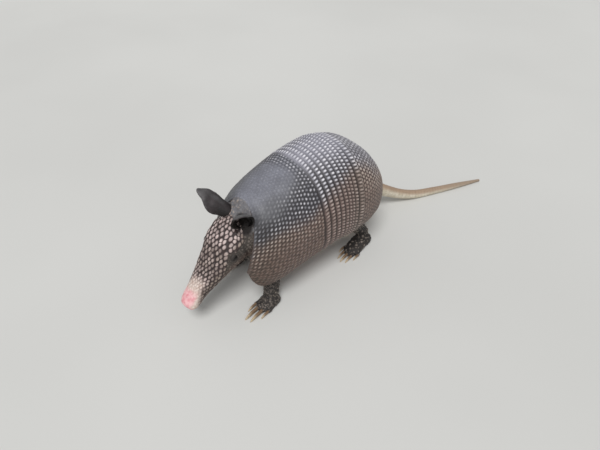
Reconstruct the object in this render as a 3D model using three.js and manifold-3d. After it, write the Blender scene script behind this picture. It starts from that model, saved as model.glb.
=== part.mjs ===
// A young nine-banded armadillo, life size, standing with its head lowered and its tail along the ground.
// Millimetres, +Z up. The animal faces -Y and its left side is +X.
import * as THREE from 'three';
import { mergeVertices } from 'three/addons/utils/BufferGeometryUtils.js';
import Module from 'manifold-3d';

const wasm = await Module();
wasm.setup();

// ---------------------------------------------------------------- driving dimensions

// Rings of the shell, front to rear: place, ridge y, ridge z, flank y, flank z, half width at the flank,
// and how far round under the flank the ring goes, in degrees.
const SHELL_RINGS = [
  [0.00, -78.0, 108.5, -97, 58, 28.5, 12],
  [0.07, -70.0, 111.5, -89, 57, 36, 32],
  [0.15, -59.0, 114.5, -79, 54, 43.5, 40],
  [0.34, -31.0, 123.3, -35.7, 58.3, 48.9, 38],
  [0.40, -22.0, 125.5, -23, 60, 49.5, 31],
  [0.46, -13.0, 127.0, -13, 61, 50.4, 25],
  [0.60, 7.5, 129.0, 6, 62, 51.5, 25],
  [0.75, 27.0, 128.0, 23, 60, 51, 33],
  [0.88, 58.0, 113.0, 50, 59, 51, 38],
  [0.96, 79.0, 88.0, 65, 55, 43, 34],
  [1.00, 88.0, 62.0, 74, 50, 31, 20],
];
const RING_POWER = 2.15;          // 2 is an ellipse, more is squarer
const UNDER_FLANK = 0.62;         // depth of a ring under the flank, over its height above it
const PLATE = 2.2;                // thickness of the shell
const BANDS = 9;
const BANDS_START = 0.40;
const BANDS_END = 0.78;
const BAND_STEP = 0.7;            // height of a band's rear edge over the next band's front edge
const GAP = 0.35;                 // clearance between neighbouring pieces

const FLESH_DEPTH = 1.2;          // the trunk lies this far inside the shell
// Belly: place along the shell, depth of the belly under the rim.
const BELLY = [
  [0.10, 6],
  [0.30, 10],
  [0.60, 11],
  [0.85, 10],
  [1.00, 7],
];

// Neck: y, middle z, half width, half height.
const NECK = [
  [-93, 72, 20, 17],
  [-86, 74.5, 24, 25],
  [-78, 75, 27, 27.2],
  [-68, 73, 32, 34.5],
  [-44, 72, 33, 34],
];

const HEAD_BASE = new THREE.Vector3(-3, -74.5, 86);
const HEAD_YAW = THREE.MathUtils.degToRad(5.5);      // turned to the animal's left
const HEAD_PITCH = THREE.MathUtils.degToRad(37.5);   // nose down
const HEAD_LENGTH = 99;
// Head: place from between the ears to the nose, half width, height over the axis, depth under it.
const HEAD_RINGS = [
  [-0.05, 15.5, 12.5, 15.0],
  [0.00, 18.5, 15.0, 17.5],
  [0.15, 20.8, 16.0, 18.5],
  [0.35, 20.3, 15.0, 17.0],
  [0.50, 17.2, 12.5, 14.0],
  [0.70, 12.3, 9.3, 9.5],
  [0.85, 9.8, 7.8, 7.2],
  [0.95, 8.7, 7.0, 5.9],
  [1.00, 5.6, 4.6, 3.8],
];
const HEAD_POWER = 2.2;
const CROWN_PLATE = { from: 0.13, to: 0.66, side: THREE.MathUtils.degToRad(20), lift: 0.6, thick: 1.1 };
const EYE = { place: 0.37, angle: THREE.MathUtils.degToRad(18), radius: 3.1, sunk: 1.5 };

const EAR = { place: 0.05, side: 8.5, up: 11, depth: 0.8, thick: 1.1, slant: 0.38 };
// How each ear is held. Along its length: to its own side, up and forward of the head. Its mouth: to its
// own side, rearwards and up.
const EAR_HELD = {
  left: { length: 37, along: [0.66, 0.74, 0.08], mouth: [0.75, -0.35, -0.6] },
  right: { length: 35, along: [0.79, 0.61, 0.06], mouth: [0.46, -0.1, -0.88] },
};
// Ear: place from the base to the tip, half width, how far round the funnel wraps (degrees each way).
const EAR_RINGS = [
  [0.00, 6.3, 170],
  [0.25, 7.8, 160],
  [0.55, 9.6, 130],
  [0.80, 10.5, 108],
  [1.00, 9.2, 88],
];

// Legs: places of the left legs' joints, x, y, z, radius; the right legs are stepped along y.
const FORELEG = [
  [14, -52, 60, 8],
  [21.5, -62, 38, 9.5],
  [26.5, -70, 23, 8.6],
  [32, -77, 8, 7.4],
];
const HINDLEG = [
  [20, 44, 62, 17],
  [24, 32, 42, 12.5],
  [30, 47, 22, 8.2],
  [33, 56, 9, 6.8],
];
const STEP = { fore: 16, hind: -14 };   // the right legs stand this far from the left ones along y
const FOREFOOT = { x: 33, heel: -69, toe: -93, half: 8.6, height: 10, turn: 0.12 };
const HINDFOOT = { x: 35, heel: 63, toe: 24, half: 8.8, height: 11, turn: 0.14 };
// Toes and claws of a foot: side place, forward place of the toe's end, toe radius, claw length,
// claw radius.
const FORE_TOES = [
  [-7.8, 0.5, 2.5, 9, 1.7],
  [-2.7, 4.5, 2.8, 14, 2.2],
  [2.8, 4.0, 2.8, 13, 2.1],
  [7.9, -0.5, 2.5, 8, 1.6],
];
const HIND_TOES = [
  [-9.4, -3.5, 2.2, 7, 1.5],
  [-4.9, 2.5, 2.4, 9.5, 1.8],
  [0.0, 4.0, 2.6, 10.5, 2.0],
  [4.9, 2.5, 2.4, 9.5, 1.8],
  [9.4, -3.5, 2.2, 7, 1.5],
];

// Tail: place from root to tip, x, y, z, radius.
const TAIL = [
  [-0.08, 0, 66, 52, 13],
  [0.00, 0, 82, 43, 10.8],
  [0.09, 3, 99, 33.5, 8.6],
  [0.20, 9, 118, 22, 6.9],
  [0.32, 17, 137, 12, 5.8],
  [0.46, 26, 158, 5.4, 5.1],
  [0.62, 37, 184, 4.0, 4.3],
  [0.80, 49, 214, 3.2, 3.4],
  [1.00, 61, 247, 1.5, 1.6],
];
const TAIL_LENGTHS = 8;

const COLOUR = {
  plate: 0x69696f,
  band: 0x7c7270,
  skin: 0x5d4a44,
  scale: 0xc9b3a9,
  ear: 0x463e3e,
  claw: 0xb8a78c,
  tail: 0xc4ab93,
  eye: 0x0c0a09,
};

// ---------------------------------------------------------------- shared shapes

// Smooth values at a place: cubic pieces through the stations, slopes taken from the neighbours.
function smooth(stations, place) {
  const last = stations.length - 1;
  const span = (i) => stations[i + 1][0] - stations[i][0];
  const slope = (i, k) => (stations[i + 1][k] - stations[i][k]) / span(i);
  const tangent = (i, k) => {
    if (i === 0) return slope(0, k);
    if (i === last) return slope(last - 1, k);
    return (slope(i - 1, k) * span(i) + slope(i, k) * span(i - 1)) / (span(i) + span(i - 1));
  };
  let i = 0;
  while (i < last - 1 && place >= stations[i + 1][0]) i += 1;
  const h = span(i);
  const t = (place - stations[i][0]) / h;
  return stations[i].slice(1).map((start, column) => {
    const k = column + 1;
    const end = stations[i + 1][k];
    return start * (1 + 2 * t) * (1 - t) ** 2 + tangent(i, k) * h * t * (1 - t) ** 2
      + end * t * t * (3 - 2 * t) + tangent(i + 1, k) * h * t * t * (t - 1);
  });
}

// Evenly spaced values with both ends, and evenly spaced angles once round.
const steps = (count, from = 0, to = 1) => {
  const width = (to - from) / (count - 1);
  return Array.from({ length: count }, (_, i) => from + width * i);
};
const turns = (count) => steps(count + 1, 0, 2 * Math.PI).slice(0, count);
const rounded = (value, power) => Math.sign(value) * Math.abs(value) ** (2 / power);

// A geometry from points and the corners of its triangles, turned outward.
function geometry(points, corners) {
  const shape = new THREE.BufferGeometry();
  const numbers = points.flatMap((p) => [p.x, p.y, p.z]);
  shape.setAttribute('position', new THREE.Float32BufferAttribute(numbers, 3));
  const volume = (list) => {
    let sum = 0;
    for (let i = 0; i < list.length; i += 3) {
      const [a, b, c] = [points[list[i]], points[list[i + 1]], points[list[i + 2]]];
      sum += a.dot(new THREE.Vector3().crossVectors(b, c));
    }
    return sum;
  };
  const outward = volume(corners) > 0 ? corners : [...corners].reverse();
  shape.setIndex(outward);
  return shape;
}

// A closed body through rings of equally many points, its two ends closed by fans.
function loft(rings) {
  const count = rings[0].length;
  const points = rings.flat();
  const corners = [];
  for (let r = 0; r < rings.length - 1; r += 1) {
    for (let i = 0; i < count; i += 1) {
      const next = (i + 1) % count;
      const [row, following] = [r * count, (r + 1) * count];
      corners.push(row + i, row + next, following + next, row + i, following + next, following + i);
    }
  }
  for (const [ring, turn] of [[0, 1], [rings.length - 1, -1]]) {
    const middle = new THREE.Vector3();
    rings[ring].forEach((p) => middle.addScaledVector(p, 1 / count));
    points.push(middle);
    for (let i = 0; i < count; i += 1) {
      const pair = [ring * count + (i + 1) % count, ring * count + i];
      corners.push(points.length - 1, ...(turn > 0 ? pair : pair.reverse()));
    }
  }
  return geometry(points, corners);
}

// A closed wall: a sheet of rows of points with a second sheet behind it, and the four edges joined.
function wall(front, back) {
  const rows = front.length;
  const columns = front[0].length;
  const points = [...front.flat(), ...back.flat()];
  const at = (side, r, c) => side * rows * columns + r * columns + c;
  const corners = [];
  const quad = (a, b, c, d) => corners.push(a, b, c, a, c, d);
  for (let r = 0; r < rows - 1; r += 1) {
    for (let c = 0; c < columns - 1; c += 1) {
      quad(at(0, r, c), at(0, r, c + 1), at(0, r + 1, c + 1), at(0, r + 1, c));
      quad(at(1, r, c), at(1, r + 1, c), at(1, r + 1, c + 1), at(1, r, c + 1));
    }
    quad(at(0, r + 1, 0), at(1, r + 1, 0), at(1, r, 0), at(0, r, 0));
    const end = columns - 1;
    quad(at(0, r, end), at(1, r, end), at(1, r + 1, end), at(0, r + 1, end));
  }
  for (let c = 0; c < columns - 1; c += 1) {
    quad(at(0, 0, c), at(1, 0, c), at(1, 0, c + 1), at(0, 0, c + 1));
    const end = rows - 1;
    quad(at(0, end, c + 1), at(1, end, c + 1), at(1, end, c), at(0, end, c));
  }
  return geometry(points, corners);
}

// A round bar through stations of [place, x, y, z, radius], its rings square to the path.
// Nothing goes under the floor, so a part that lies on it has a narrow flat there.
function bar(stations, places, sides, grow = 0) {
  const pathPoint = (place) => new THREE.Vector3(...smooth(stations, place));
  const d = 0.01;
  return loft(places.map((place) => {
    const along = pathPoint(place + d).sub(pathPoint(place - d)).normalize();
    const across = new THREE.Vector3(1, 0, 0).addScaledVector(along, -along.x).normalize();
    const up = new THREE.Vector3().crossVectors(along, across);
    const radius = smooth(stations, place)[3] + grow;
    return turns(sides).map((angle) => {
      const p = pathPoint(place).addScaledVector(across, radius * Math.cos(angle));
      p.addScaledVector(up, radius * Math.sin(angle));
      p.z = Math.max(p.z, 0);
      return p;
    });
  }));
}

function toSolid(shape) {
  const bare = mergeVertices(shape, 1e-4);
  const mesh = new wasm.Mesh({
    numProp: 3,
    vertProperties: new Float32Array(bare.attributes.position.array),
    triVerts: new Uint32Array(bare.index.array),
  });
  return new wasm.Manifold(mesh);
}

function toShape(solid) {
  const mesh = solid.getMesh();
  const shape = new THREE.BufferGeometry();
  shape.setAttribute('position', new THREE.Float32BufferAttribute(mesh.vertProperties, 3));
  shape.setIndex([...mesh.triVerts]);
  return shape;
}

// What is left of a shape once others are cut out of it.
function cut(shape, ...others) {
  return toShape(others.reduce((left, other) => left.subtract(toSolid(other)), toSolid(shape)));
}

function join(shape, ...others) {
  return toShape(others.reduce((left, other) => left.add(toSolid(other)), toSolid(shape)));
}

// ---------------------------------------------------------------- the model's pieces

const armadillo = new THREE.Group();

function add(name, shape, colour, roughness = 0.7) {
  const facets = shape.toNonIndexed();
  facets.computeVertexNormals();
  const material = new THREE.MeshStandardMaterial({ color: colour, roughness, metalness: 0 });
  const mesh = new THREE.Mesh(facets, material);
  mesh.name = name;
  armadillo.add(mesh);
}

// Shell: a point of the ring at a place along the back; angle 0 is the left flank, 90 degrees the ridge.
function shellPoint(place, angle) {
  const [ridgeY, ridgeZ, flankY, flankZ, half] = smooth(SHELL_RINGS, place);
  const across = rounded(Math.cos(angle), RING_POWER);
  const up = rounded(Math.sin(angle), RING_POWER) * (angle < 0 || angle > Math.PI ? UNDER_FLANK : 1);
  const [y, z] = [flankY + up * (ridgeY - flankY), flankZ + up * (ridgeZ - flankZ)];
  return new THREE.Vector3(half * across, y, z);
}

// The angles of a ring's points, from the left rim over the ridge to the right rim.
function ringAngles(place, count) {
  const rim = THREE.MathUtils.degToRad(smooth(SHELL_RINGS, place)[5]);
  return steps(count, -rim, Math.PI + rim);
}

// The same point moved out along the shell's own normal.
function shellOffset(place, angle, offset) {
  const d = 0.004;
  const along = shellPoint(place + d, angle).sub(shellPoint(place - d, angle));
  const round = shellPoint(place, angle + d).sub(shellPoint(place, angle - d));
  return shellPoint(place, angle).addScaledVector(along.cross(round).normalize(), offset);
}

// A plate of shell between two places, raised by the given amounts at its front and rear edges.
function plate(from, to, rows, frontRaise, rearRaise) {
  const places = steps(rows, from, to);
  const sheet = (offset) => places.map((place) => {
    const t = (place - from) / (to - from);
    const raise = frontRaise + (rearRaise - frontRaise) * t;
    return ringAngles(place, 21).map((angle) => shellOffset(place, angle, offset < 0 ? offset : raise));
  });
  return wall(sheet(0), sheet(-PLATE));
}

function addShell() {
  const slit = 0.003;   // half of the clearance between two plates, as a place along the back
  const width = (BANDS_END - BANDS_START) / BANDS;
  add('scapular_shield', plate(0, BANDS_START - slit, 7, 0, BAND_STEP), COLOUR.plate, 0.5);
  for (let i = 0; i < BANDS; i += 1) {
    const from = BANDS_START + i * width;
    const band = plate(from + slit, from + width - slit, 2, -BAND_STEP, BAND_STEP);
    add(`band_${i + 1}`, band, COLOUR.band, 0.5);
  }
  add('pelvic_shield', plate(BANDS_END + slit, 1, 7, -BAND_STEP, 0), COLOUR.plate, 0.5);
}

// Trunk: the inside of the shell closed by the belly, its ends drawn in.
const END_REACH = 0.01;   // place along the back for each millimetre that an end is moved out
function trunkShape(grow) {
  const depth = PLATE + FLESH_DEPTH - grow;
  const places = [0.22, 0.26, 0.33, 0.4, 0.5, 0.6, 0.7, 0.78, 0.86, 0.92, 0.96, 0.985];
  return loft(places.map((place, i) => {
    const end = i === 0 || i === places.length - 1 ? 0.8 : 1;
    const reach = (i === 0 ? -grow : 0) + (i === places.length - 1 ? grow : 0);
    const at = place + reach * END_REACH;
    const back = ringAngles(at, 15).map((angle) => shellOffset(at, angle, -depth));
    const [left, right] = [back[0], back[back.length - 1]];
    const [drop] = smooth(BELLY, place);
    const belly = steps(9, 0, 1).slice(1, -1).map((t) => {
      const p = new THREE.Vector3().lerpVectors(right, left, t);
      p.z -= (drop + grow) * Math.sin(Math.PI * t) ** 0.7;
      return p;
    });
    const ring = [...back, ...belly];
    const middle = new THREE.Vector3();
    ring.forEach((p) => middle.addScaledVector(p, 1 / ring.length));
    return ring.map((p) => p.clone().sub(middle).multiplyScalar(end).add(middle));
  }));
}

function neckShape(grow = 0) {
  return loft(NECK.map(([y, z, half, tall], i) => turns(18).map((angle) => {
    const across = rounded(Math.cos(angle), HEAD_POWER) * (half + grow);
    const reach = (i === 0 ? -grow : 0) + (i === NECK.length - 1 ? grow : 0);
    return new THREE.Vector3(across, y + reach, z + rounded(Math.sin(angle), HEAD_POWER) * (tall + grow));
  })));
}

// The head's own directions: forward to the nose, to its left, and up from the forehead.
const HEAD_FORWARD = new THREE.Vector3(
  Math.sin(HEAD_YAW) * Math.cos(HEAD_PITCH),
  -Math.cos(HEAD_YAW) * Math.cos(HEAD_PITCH),
  -Math.sin(HEAD_PITCH),
);
const HEAD_LEFT = new THREE.Vector3(Math.cos(HEAD_YAW), Math.sin(HEAD_YAW), 0);
const HEAD_UP = new THREE.Vector3().crossVectors(HEAD_FORWARD, HEAD_LEFT);

function inHead(forward, left, up) {
  const p = HEAD_BASE.clone().addScaledVector(HEAD_FORWARD, forward);
  return p.addScaledVector(HEAD_LEFT, left).addScaledVector(HEAD_UP, up);
}

function headPoint(place, angle, grow = 0) {
  const [half, over, under] = smooth(HEAD_RINGS, place);
  const s = Math.sin(angle);
  const tall = (s > 0 ? over : under) + grow;
  const left = rounded(Math.cos(angle), HEAD_POWER) * (half + grow);
  return inHead(place * HEAD_LENGTH, left, rounded(s, HEAD_POWER) * tall);
}

function headShape(grow = 0) {
  const angles = turns(16);
  const places = [-0.05, 0, 0.06, 0.14, 0.22, 0.32, 0.42, 0.52, 0.63, 0.75, 0.86, 0.95, 1.0];
  const reach = grow / HEAD_LENGTH;
  places[0] -= reach;
  places[places.length - 1] += reach;
  return loft(places.map((place) => angles.map((angle) => headPoint(place, angle, grow))));
}

function eyeCentre(side) {
  const angle = side > 0 ? EYE.angle : Math.PI - EYE.angle;
  const middle = inHead(EYE.place * HEAD_LENGTH, 0, 0);
  const surface = headPoint(EYE.place, angle);
  return surface.add(middle.sub(surface).setLength(EYE.sunk));
}

function eyeShape(side, radius) {
  const shape = new THREE.SphereGeometry(radius, 10, 7);
  shape.deleteAttribute('uv');
  shape.deleteAttribute('normal');
  const centre = eyeCentre(side);
  return mergeVertices(shape.translate(centre.x, centre.y, centre.z), 1e-4);
}

function crownPlateShape() {
  const places = steps(9, CROWN_PLATE.from, CROWN_PLATE.to);
  const angles = steps(8, CROWN_PLATE.side, Math.PI - CROWN_PLATE.side);
  const sheet = (grow) => places.map((place) => angles.map((angle) => headPoint(place, angle, grow)));
  const { lift, thick } = CROWN_PLATE;
  return wall(sheet(lift + thick), sheet(lift));
}

// Ear: a funnel round the line from its base to its tip, slit and cut short on its front and outer side.
function earShape(word, side) {
  const { length, along: [outward, upward, forward], mouth } = EAR_HELD[word];
  const base = inHead(EAR.place * HEAD_LENGTH, side * EAR.side, EAR.up);
  const along = new THREE.Vector3().addScaledVector(HEAD_LEFT, outward * side);
  along.addScaledVector(HEAD_UP, upward).addScaledVector(HEAD_FORWARD, forward).normalize();
  const open = new THREE.Vector3(mouth[0] * side, mouth[1], mouth[2]);
  open.addScaledVector(along, -open.dot(along)).normalize();
  const across = new THREE.Vector3().crossVectors(along, open);
  const sheet = (inset) => steps(7).map((place) => {
    const [half, wrap] = smooth(EAR_RINGS, place);
    const reach = THREE.MathUtils.degToRad(wrap);
    return steps(11, -reach, reach).map((angle) => {
      const height = length * place * (1 - EAR.slant * (angle / reach) ** 2);
      const p = base.clone().addScaledVector(along, height);
      p.addScaledVector(open, -Math.cos(angle) * (half - inset) * EAR.depth);
      return p.addScaledVector(across, Math.sin(angle) * (half - inset));
    });
  });
  return wall(sheet(0), sheet(EAR.thick));
}

function addHead() {
  const sockets = [1, -1].map((side) => eyeShape(side, EYE.radius + GAP));
  add('neck', cut(neckShape(), trunkShape(GAP), headShape(GAP)), COLOUR.skin, 0.85);
  add('head', cut(headShape(), ...sockets), COLOUR.skin, 0.8);
  add('head_shield', cut(crownPlateShape(), neckShape(GAP), ...sockets), COLOUR.scale, 0.6);
  for (const [word, side] of [['left', 1], ['right', -1]]) {
    add(`eye_${word}`, eyeShape(side, EYE.radius), COLOUR.eye, 0.1);
    add(`ear_${word}`, cut(earShape(word, side), headShape(GAP), neckShape(GAP)), COLOUR.ear, 0.85);
  }
}

// Legs: the joints are given for the left side; shift steps the foot along y, and the joints above
// it less.
function legShape(joints, side, shift) {
  const last = joints.length - 1;
  const stations = joints.map(([x, y, z, radius], i) => {
    const place = i / last;
    return [place, side * x, y + shift * place, z, radius];
  });
  return bar(stations, steps(7), 10);
}

// Foot: a low wedge with a flat sole, its toes joined on in front.
const FOOT_RINGS = [   // place from heel to toe, width over the foot's half width, height over its height
  [0.00, 0.50, 0.55],
  [0.16, 0.86, 0.95],
  [0.42, 0.98, 1.00],
  [0.75, 1.00, 0.72],
  [1.00, 0.80, 0.42],
];
const SOLE_RISE = 0.42;   // height of a foot's widest line over its height
const FOOT_POWER = 2.6;   // how square a foot's rings are
const TOE_ROOT = 9;       // a toe starts this far behind the front of the foot

// A point of a foot's own plan, set down where the foot stands.
function inFoot(foot, side, shift, forward, sideways, height) {
  const turn = side * foot.turn;
  const x = side * foot.x + side * sideways * Math.cos(turn) + forward * Math.sin(turn);
  const y = foot.heel + shift + side * sideways * Math.sin(turn) - forward * Math.cos(turn);
  return new THREE.Vector3(x, y, height);
}

function footShape(foot, toes, side, shift, grow = 0) {
  const length = foot.heel - foot.toe;
  const pad = loft([0, 0.1, 0.3, 0.6, 0.85, 1].map((place, i) => {
    const [wide, tall] = smooth(FOOT_RINGS, place);
    const reach = (i === 0 ? -grow : 0) + (place === 1 ? grow : 0);
    return turns(10).map((angle) => {
      const sideways = rounded(Math.cos(angle), FOOT_POWER) * (wide * foot.half + grow);
      const lift = SOLE_RISE + (1 - SOLE_RISE) * rounded(Math.sin(angle), FOOT_POWER);
      const height = Math.max(0, lift * (tall * foot.height + grow));
      return inFoot(foot, side, shift, place * length + reach, sideways, height);
    });
  }));
  const toeBars = toes.map(([sideways, end, radius]) => {
    const ends = [[0, length - TOE_ROOT, sideways * 0.8], [1, length + end, sideways]];
    const stations = ends.map(([place, forward, across]) => {
      const p = inFoot(foot, side, shift, forward, across, radius * 0.9);
      return [place, p.x, p.y, p.z, radius];
    });
    return bar(stations, [0, 1], 7, grow);
  });
  return join(pad, ...toeBars);
}

// Claw: a cone that starts just in front of its toe and bends down to the ground.
function clawShape(foot, toe, side, shift) {
  const [sideways, end, toeRadius, length, radius] = toe;
  const from = foot.heel - foot.toe + end + GAP;
  const stations = [
    [0.0, 0, toeRadius * 0.95, radius],
    [0.4, 0.4, toeRadius * 0.9 + 0.3, radius * 0.85],
    [0.8, 0.8, toeRadius * 0.5, radius * 0.5],
    [1.0, 1, 0.7, 0.3],
  ].map(([place, reach, height, thick]) => {
    const p = inFoot(foot, side, shift, from + reach * length, sideways, height);
    return [place, p.x, p.y, p.z, thick];
  });
  return bar(stations, [0, 0.4, 0.75, 1], 6);
}

function addLegs() {
  const body = [trunkShape(GAP), neckShape(GAP)];
  const kinds = [
    ['fore', FORELEG, FOREFOOT, FORE_TOES, STEP.fore],
    ['hind', HINDLEG, HINDFOOT, HIND_TOES, STEP.hind],
  ];
  for (const [kind, joints, foot, toes, step] of kinds) {
    for (const [word, side] of [['left', 1], ['right', -1]]) {
      const shift = side > 0 ? 0 : step;
      const grownFoot = footShape(foot, toes, side, shift, GAP);
      const leg = cut(legShape(joints, side, shift), ...body, grownFoot);
      add(`${kind}leg_${word}`, leg, COLOUR.skin, 0.85);
      add(`${kind}foot_${word}`, footShape(foot, toes, side, shift), COLOUR.skin, 0.8);
      toes.forEach((toe, i) => {
        const claw = cut(clawShape(foot, toe, side, shift), grownFoot);
        add(`claw_${kind}_${word}_${i + 1}`, claw, COLOUR.claw, 0.45);
      });
    }
  }
}

function addTail() {
  const trunk = trunkShape(GAP);
  const slit = 0.0009;   // half of the clearance between two lengths, as a place along the tail
  for (let i = 0; i < TAIL_LENGTHS; i += 1) {
    const from = i === 0 ? TAIL[0][0] : i / TAIL_LENGTHS + slit;
    const to = (i + 1) / TAIL_LENGTHS - slit;
    const length = bar(TAIL, steps(3, from, to), 10);
    add(`tail_${i + 1}`, i === 0 ? cut(length, trunk) : length, COLOUR.tail, 0.6);
  }
}

addShell();
add('trunk', trunkShape(0), COLOUR.skin, 0.85);
addHead();
addLegs();
addTail();

// The part's own origin is under the middle of the whole animal, on the ground.
const extent = new THREE.Box3().setFromObject(armadillo);
const middle = extent.getCenter(new THREE.Vector3());
armadillo.position.set(-middle.x, -middle.y, -extent.min.z);

export default armadillo;
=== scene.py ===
import math

import bmesh
import bpy
import numpy as np
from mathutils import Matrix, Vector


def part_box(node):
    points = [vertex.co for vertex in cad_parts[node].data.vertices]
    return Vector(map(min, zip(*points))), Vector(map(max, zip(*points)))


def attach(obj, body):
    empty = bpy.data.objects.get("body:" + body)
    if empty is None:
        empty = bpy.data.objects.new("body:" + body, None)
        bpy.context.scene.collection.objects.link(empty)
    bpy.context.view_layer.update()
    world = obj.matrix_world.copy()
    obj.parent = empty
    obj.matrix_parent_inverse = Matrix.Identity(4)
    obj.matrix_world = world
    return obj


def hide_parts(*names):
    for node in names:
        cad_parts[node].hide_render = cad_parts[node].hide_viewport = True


# The looks of a young nine-banded armadillo, made round its solid parts.
# Shapes are worked out in millimetres in the animal's own frame: the floor is z = 0, the animal faces -Y
# and its left side is +X. to_frame takes them into the model's frame, in metres.

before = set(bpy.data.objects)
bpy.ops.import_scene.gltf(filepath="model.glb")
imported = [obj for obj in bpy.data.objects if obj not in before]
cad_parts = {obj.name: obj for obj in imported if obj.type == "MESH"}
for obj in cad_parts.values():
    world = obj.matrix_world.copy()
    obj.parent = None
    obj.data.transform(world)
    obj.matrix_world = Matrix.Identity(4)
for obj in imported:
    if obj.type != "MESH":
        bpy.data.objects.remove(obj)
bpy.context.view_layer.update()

# ---------------------------------------------------------------- the animal's dimensions

# Rings of the shell, front to rear: place, ridge y, ridge z, flank y, flank z, half width at the flank,
# and how far round under the flank the ring goes, in degrees.
SHELL_RINGS = [
    (0.00, -78.0, 108.5, -97, 58, 28.5, 12),
    (0.07, -70.0, 111.5, -89, 57, 36.0, 32),
    (0.15, -59.0, 114.5, -79, 54, 43.5, 40),
    (0.34, -31.0, 123.3, -35.7, 58.3, 48.9, 38),
    (0.40, -22.0, 125.5, -23, 60, 49.5, 31),
    (0.46, -13.0, 127.0, -13, 61, 50.4, 25),
    (0.60, 7.5, 129.0, 6, 62, 51.5, 25),
    (0.75, 27.0, 128.0, 23, 60, 51.0, 33),
    (0.88, 58.0, 113.0, 50, 59, 51.0, 38),
    (0.96, 79.0, 88.0, 65, 55, 43.0, 34),
    (1.00, 88.0, 62.0, 74, 50, 31.0, 20),
]
RING_POWER = 2.15
UNDER_FLANK = 0.62        # height of a ring's lower part, as a share of its upper part
PLATE = 2.2               # thickness of the shell
BANDS = 9
BANDS_START = 0.40        # place along the back where the first band starts
BANDS_END = 0.78
BAND_WIDTH = (BANDS_END - BANDS_START) / BANDS
SHIELD_ROW = 3.5          # from one row of scutes to the next, along the back
SHIELD_COLUMN = 3.9       # from scute to scute along a row
HIP_SCUTES = 56           # scutes in each row over the hips, from rim to rim
BAND_SCUTE = 3.6          # width of a band's scutes
DOME_RADIUS = 1.75        # of the dome on each scute of a shield
DOME_HEIGHT = 0.42
GROOVE_DEPTH = 0.10       # of the ground between two domes
RIM_STEP = 0.5            # about how far apart points lie along a ring, for rounding its rims

HAIR_RADIUS = 0.10
HAIR_DROOP = 0.3          # how far a hair's tip hangs, as a share of its length
HAIR_POINTS = 13
FRINGE = 260              # hairs under each rim of the shell
PATCH = 0.003             # size of a hair's patch of the map OFBake
# Other hairs: where they grow, how many, the shortest and longest, and how far they lean back.
HAIRS = [
    ("belly", 620, 4.5, 8.0, 0.8),
    ("legs", 520, 3.0, 5.5, 1.2),
    ("cheeks", 300, 2.2, 4.0, 1.0),
    ("throat", 160, 3.5, 6.0, 1.0),
]

FLESH_GAP = 1.4           # from a plate's inside to the flesh under it
SKIN_CELL = 0.74          # size of the cells that the skin is made of
SKIN_SOFTENING = 4        # how many times it is smoothed
COVERED_SHARE = 0.06      # share of its faces kept under the shell
PLAIN_SHARE = 0.2         # share of its faces kept on the belly and chest
NECK_FOLD = 4.2           # from fold to fold
RUMP_FOLD = 3.4
LID_FOLD = 1.5
NAPE_GRANULE = 2.6        # from granule to granule
LEG_GRANULE = 3.1
CHEEK_GRANULE = 2.3
MOUTH_DOWN = math.radians(30)    # how far round under the snout's widest the mouth runs
MOUTH_WIDTH = 0.65
MOUTH_DEPTH = 0.7
NOSTRIL = (99, 2.7, 0.2)         # forward, aside and up from the forehead
NOSTRIL_DEPTH = 2.0
EAR_PIT = 7.6                    # half width of the hollow at the bottom of each ear
EAR_PIT_DEPTH = 2.2
EAR_ROOT_REACH = 8.0             # half width of the patch round an ear's root that has no scales

CAMERA_PLACE = (281, -264, 375)
CAMERA_DOWN = math.radians(41.7)     # how far below level it looks
CAMERA_TURN = math.radians(47.8)     # from straight along +Y
CAMERA_LENS = 29.1
FLOOR_SIZE = 8                       # in metres
SKY_STRENGTH = 0.42
SUN_STRENGTH = 2.0
SUN_WIDTH = math.radians(25)         # how wide it looks, which softens its shadows
SUN_TURN = (math.radians(28), math.radians(10), math.radians(20))

# How far the belly sags below the rims, by place along the back.
BELLY = [(0.10, 6), (0.30, 10), (0.60, 11), (0.85, 10), (1.00, 7)]
# The flesh inside the hip shield: place, x, y, z, radius.
RUMP = [(0.0, 0, 46, 62, 30), (0.4, 0, 64, 58, 25), (0.8, 0, 76, 53, 17), (1.0, 0, 84, 46, 11)]
# Rounds of the neck: y, z of its middle, half its width, half its height.
NECK = [
    (-93, 72, 20, 17),
    (-86, 74.5, 24, 25),
    (-78, 75, 27, 27.2),
    (-68, 73, 32, 34.5),
    (-44, 72, 33, 34),
]

HEAD_BASE = np.array([-3, -74.5, 86])
HEAD_YAW = math.radians(5.5)
HEAD_PITCH = math.radians(37.5)
HEAD_LENGTH = 99
HEAD_POWER = 2.2
# Rings of the head: place from forehead to nose, half width, height above the axis and below it.
HEAD_RINGS = [
    (-0.05, 15.5, 12.5, 15.0),
    (0.00, 18.5, 15.0, 17.5),
    (0.15, 20.8, 16.0, 18.5),
    (0.35, 20.3, 15.0, 17.0),
    (0.50, 17.2, 12.5, 14.0),
    (0.70, 12.3, 9.3, 9.5),
    (0.85, 9.8, 7.8, 7.2),
    (0.95, 8.7, 7.0, 5.9),
    (1.00, 5.6, 4.6, 3.8),
]
# Each eye: its place along the head, how far round from the side, radius, depth of its middle.
EYE = {"place": 0.37, "angle": math.radians(18), "radius": 3.1, "sunk": 1.5}
# Each ear: where it starts on the head, how deep its funnel is for its width, its thickness, and how
# much lower its edges end than its back.
EAR = {"place": 0.05, "side": 8.5, "up": 11, "depth": 0.8, "thick": 0.9, "slant": 0.38}
# How each ear is held: its length, then along it (to its own side, up and forward of the head), and its
# mouth (to its own side, rearwards and up).
EAR_HELD = {
    "left": (37, (0.66, 0.74, 0.08), (0.75, -0.35, -0.6)),
    "right": (35, (0.79, 0.61, 0.06), (0.46, -0.1, -0.88)),
}
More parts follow.
